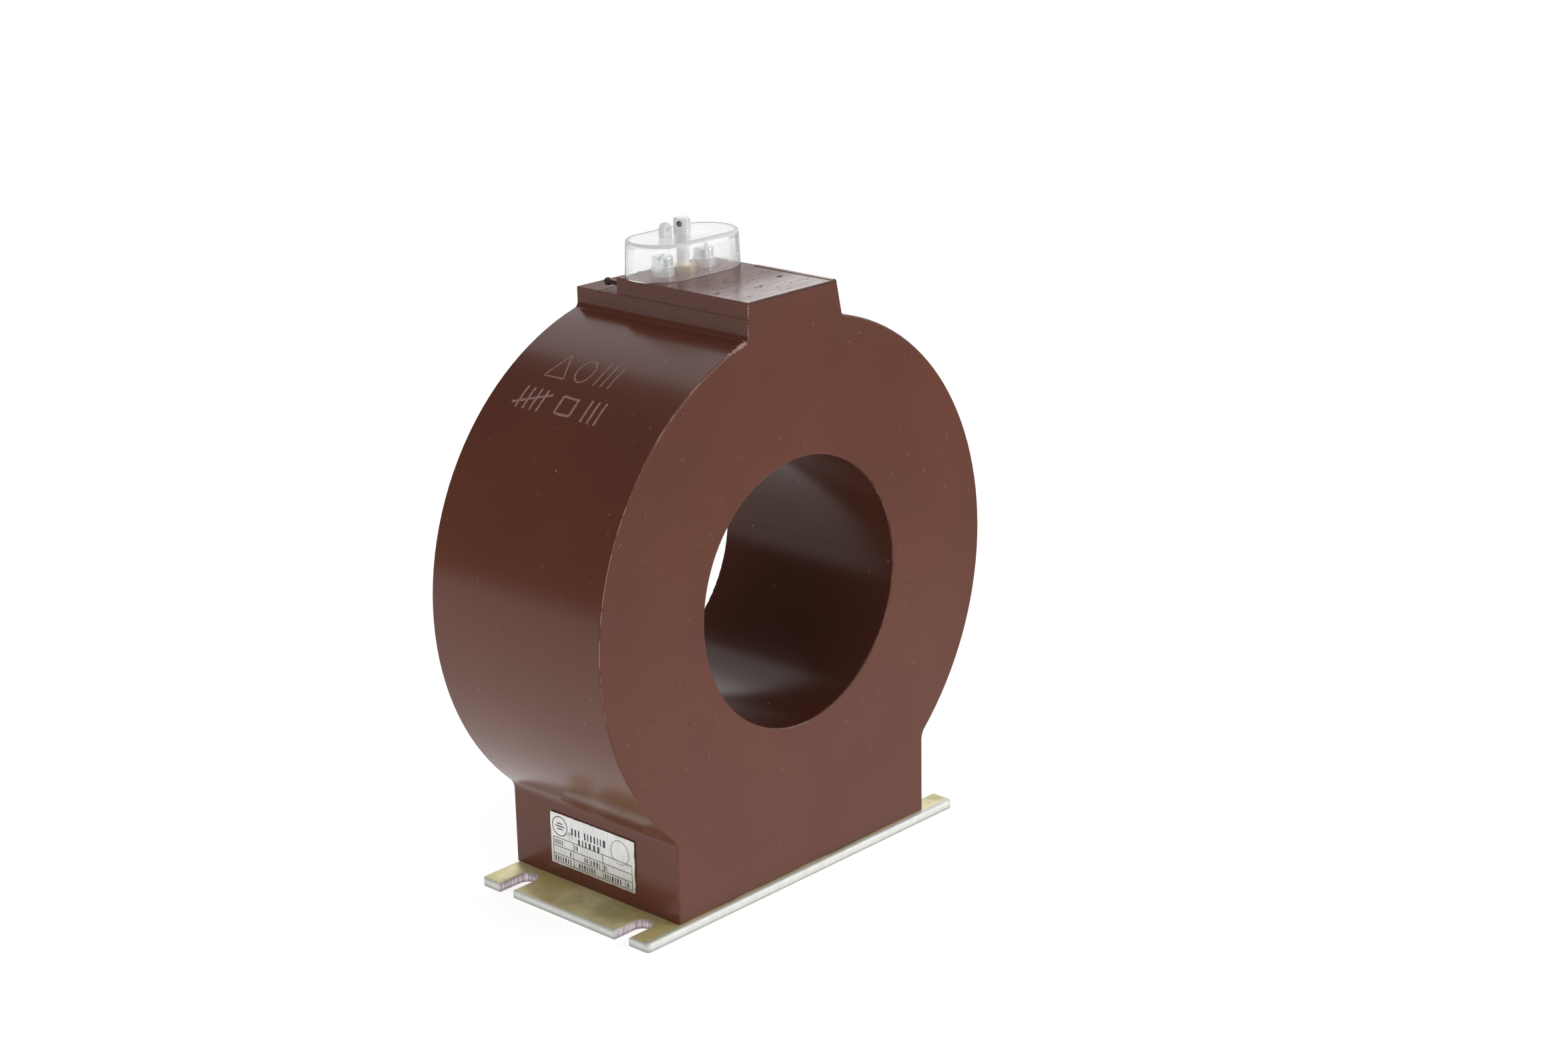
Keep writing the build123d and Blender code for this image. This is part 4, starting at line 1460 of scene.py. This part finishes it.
def floor_material():
    """A pale floor that shows white to the camera and in glass, and keeps shadows.

    In gloss it glows instead, as a painted reflection of a pale table that darkens towards the right, in
    front of the object.
    """
    material = bpy.data.materials.new("pale_floor")
    tree = empty_tree(material)
    path = node(tree, "ShaderNodeLightPath").outputs
    ahead = vector_maths(tree, "DOT_PRODUCT", coordinate(tree), (0.7, -0.7, 0.0))["Value"]
    mirrored = ramp(tree, ahead, -0.1, 0.9, 0.80, 0.2)
    seen = greatest(tree, path["Is Camera Ray"], path["Is Transmission Ray"])
    glow = {"Color": WHITE, "Strength": product(tree, seen, FLOOR_GLOW)}
    glow = node(tree, "ShaderNodeEmission", glow).outputs[0]
    matt = node(tree, "ShaderNodeBsdfDiffuse", {"Color": FLOOR_COLOUR}).outputs[0]
    plain = node(tree, "ShaderNodeAddShader", {0: matt, 1: glow}).outputs[0]
    # Painted reflection: for glossy rays the floor glows, brighter on the left
    sheen = node(tree, "ShaderNodeEmission", {"Color": WHITE, "Strength": mirrored}).outputs[0]
    both = node(tree, "ShaderNodeMixShader", {0: path["Is Glossy Ray"], 1: plain, 2: sheen})
    node(tree, "ShaderNodeOutputMaterial", {0: both.outputs[0]})
    return material


def make_camera():
    """The photograph's camera: its direction, distance, roll and lens."""
    azimuth, elevation = math.radians(CAMERA_AZIMUTH), math.radians(CAMERA_ELEVATION)
    flat = math.cos(elevation)
    back = np.array([math.sin(azimuth) * flat, -math.cos(azimuth) * flat, math.sin(elevation)])
    data = bpy.data.cameras.new("camera")
    data.sensor_width = CAMERA_SENSOR
    data.lens = CAMERA_LENS
    data.clip_start = 0.05
    data.clip_end = 20.0
    camera = bpy.data.objects.new("camera", data)
    aim(camera, CAMERA_TARGET + back * CAMERA_DISTANCE, -back, math.radians(CAMERA_ROLL))
    bpy.context.scene.camera = camera


def flag():
    """A dark studio flag behind the left side: a standing part of a cylinder, seen only in gloss.

    Its points are (radius cos t, radius sin t, h) for a turn t and a height h.
    """
    t, h = np.meshgrid(np.radians(np.linspace(*FLAG_TURNS, 25)), (0.0, FLAG_HEIGHT))
    wall = np.stack([FLAG_RADIUS * np.cos(t), FLAG_RADIUS * np.sin(t), h], axis=-1)
    piece = grid_piece("flag", wall)
    dark = new_material("flag_cloth", Base_Color=(0.01, 0.01, 0.01), Roughness=0.9)[0]
    piece.data.materials.append(dark)
    piece.visible_camera = piece.visible_diffuse = piece.visible_shadow = False
    piece.visible_transmission = False


class TRANSFORMER_OT_stage(bpy.types.Operator):
    """Makes the floor, the lamps, the flag, the backdrop and the camera"""

    bl_idname = "transformer.stage"
    bl_label = "Make the Stage"

    def execute(self, context):
        look = context.scene.stage_light
        x, y = np.meshgrid((-FLOOR_REACH, FLOOR_REACH), (-FLOOR_REACH, FLOOR_REACH))
        floor = grid_piece("floor", np.stack([x, y, np.zeros_like(x)], axis=-1))
        floor.data.materials.append(floor_material())
        place_lamp("key", look.key)
        place_lamp("back", look.back)
        place_lamp("table", look.table).visible_glossy = False
        flag()
        backdrop_world(look)
        make_camera()
        context.scene.view_settings.view_transform = "Standard"
        return {"FINISHED"}


class TRANSFORMER_PT_pieces(bpy.types.Panel):
    """Lists the steps in the sidebar"""

    bl_idname = "TRANSFORMER_PT_pieces"
    bl_label = "Transformer"
    bl_space_type = "VIEW_3D"
    bl_region_type = "UI"
    bl_category = "Transformer"

    def draw(self, context):
        for operator in OPERATORS:
            self.layout.operator(operator.bl_idname)


PROPERTIES = {
    "resin_finish": ResinFinish,
    "plate_finish": PlateFinish,
    "label_finish": LabelFinish,
    "cover_shape": CoverShape,
    "stage_light": StageLight,
}
OPERATORS = (
    TRANSFORMER_OT_casting,
    TRANSFORMER_OT_wear,
    TRANSFORMER_OT_base_plate,
    TRANSFORMER_OT_label,
    TRANSFORMER_OT_cover,
    TRANSFORMER_OT_metal,
    TRANSFORMER_OT_coil,
    TRANSFORMER_OT_stage,
)


def register():
    for kind in (*PROPERTIES.values(), *OPERATORS, TRANSFORMER_PT_pieces):
        bpy.utils.register_class(kind)
    for name, kind in PROPERTIES.items():
        setattr(bpy.types.Scene, name, PointerProperty(type=kind))


def unregister():
    for name in PROPERTIES:
        delattr(bpy.types.Scene, name)
    for kind in reversed((*PROPERTIES.values(), *OPERATORS, TRANSFORMER_PT_pieces)):
        bpy.utils.unregister_class(kind)


def main():
    """Runs every step in order."""
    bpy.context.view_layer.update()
    register()
    uneven_group()
    speck_group()
    around_group()
    worn_rim_group()
    for operator in OPERATORS:
        group, name = operator.bl_idname.split(".")
        getattr(getattr(bpy.ops, group), name)()


if __name__ == "__main__":
    main()
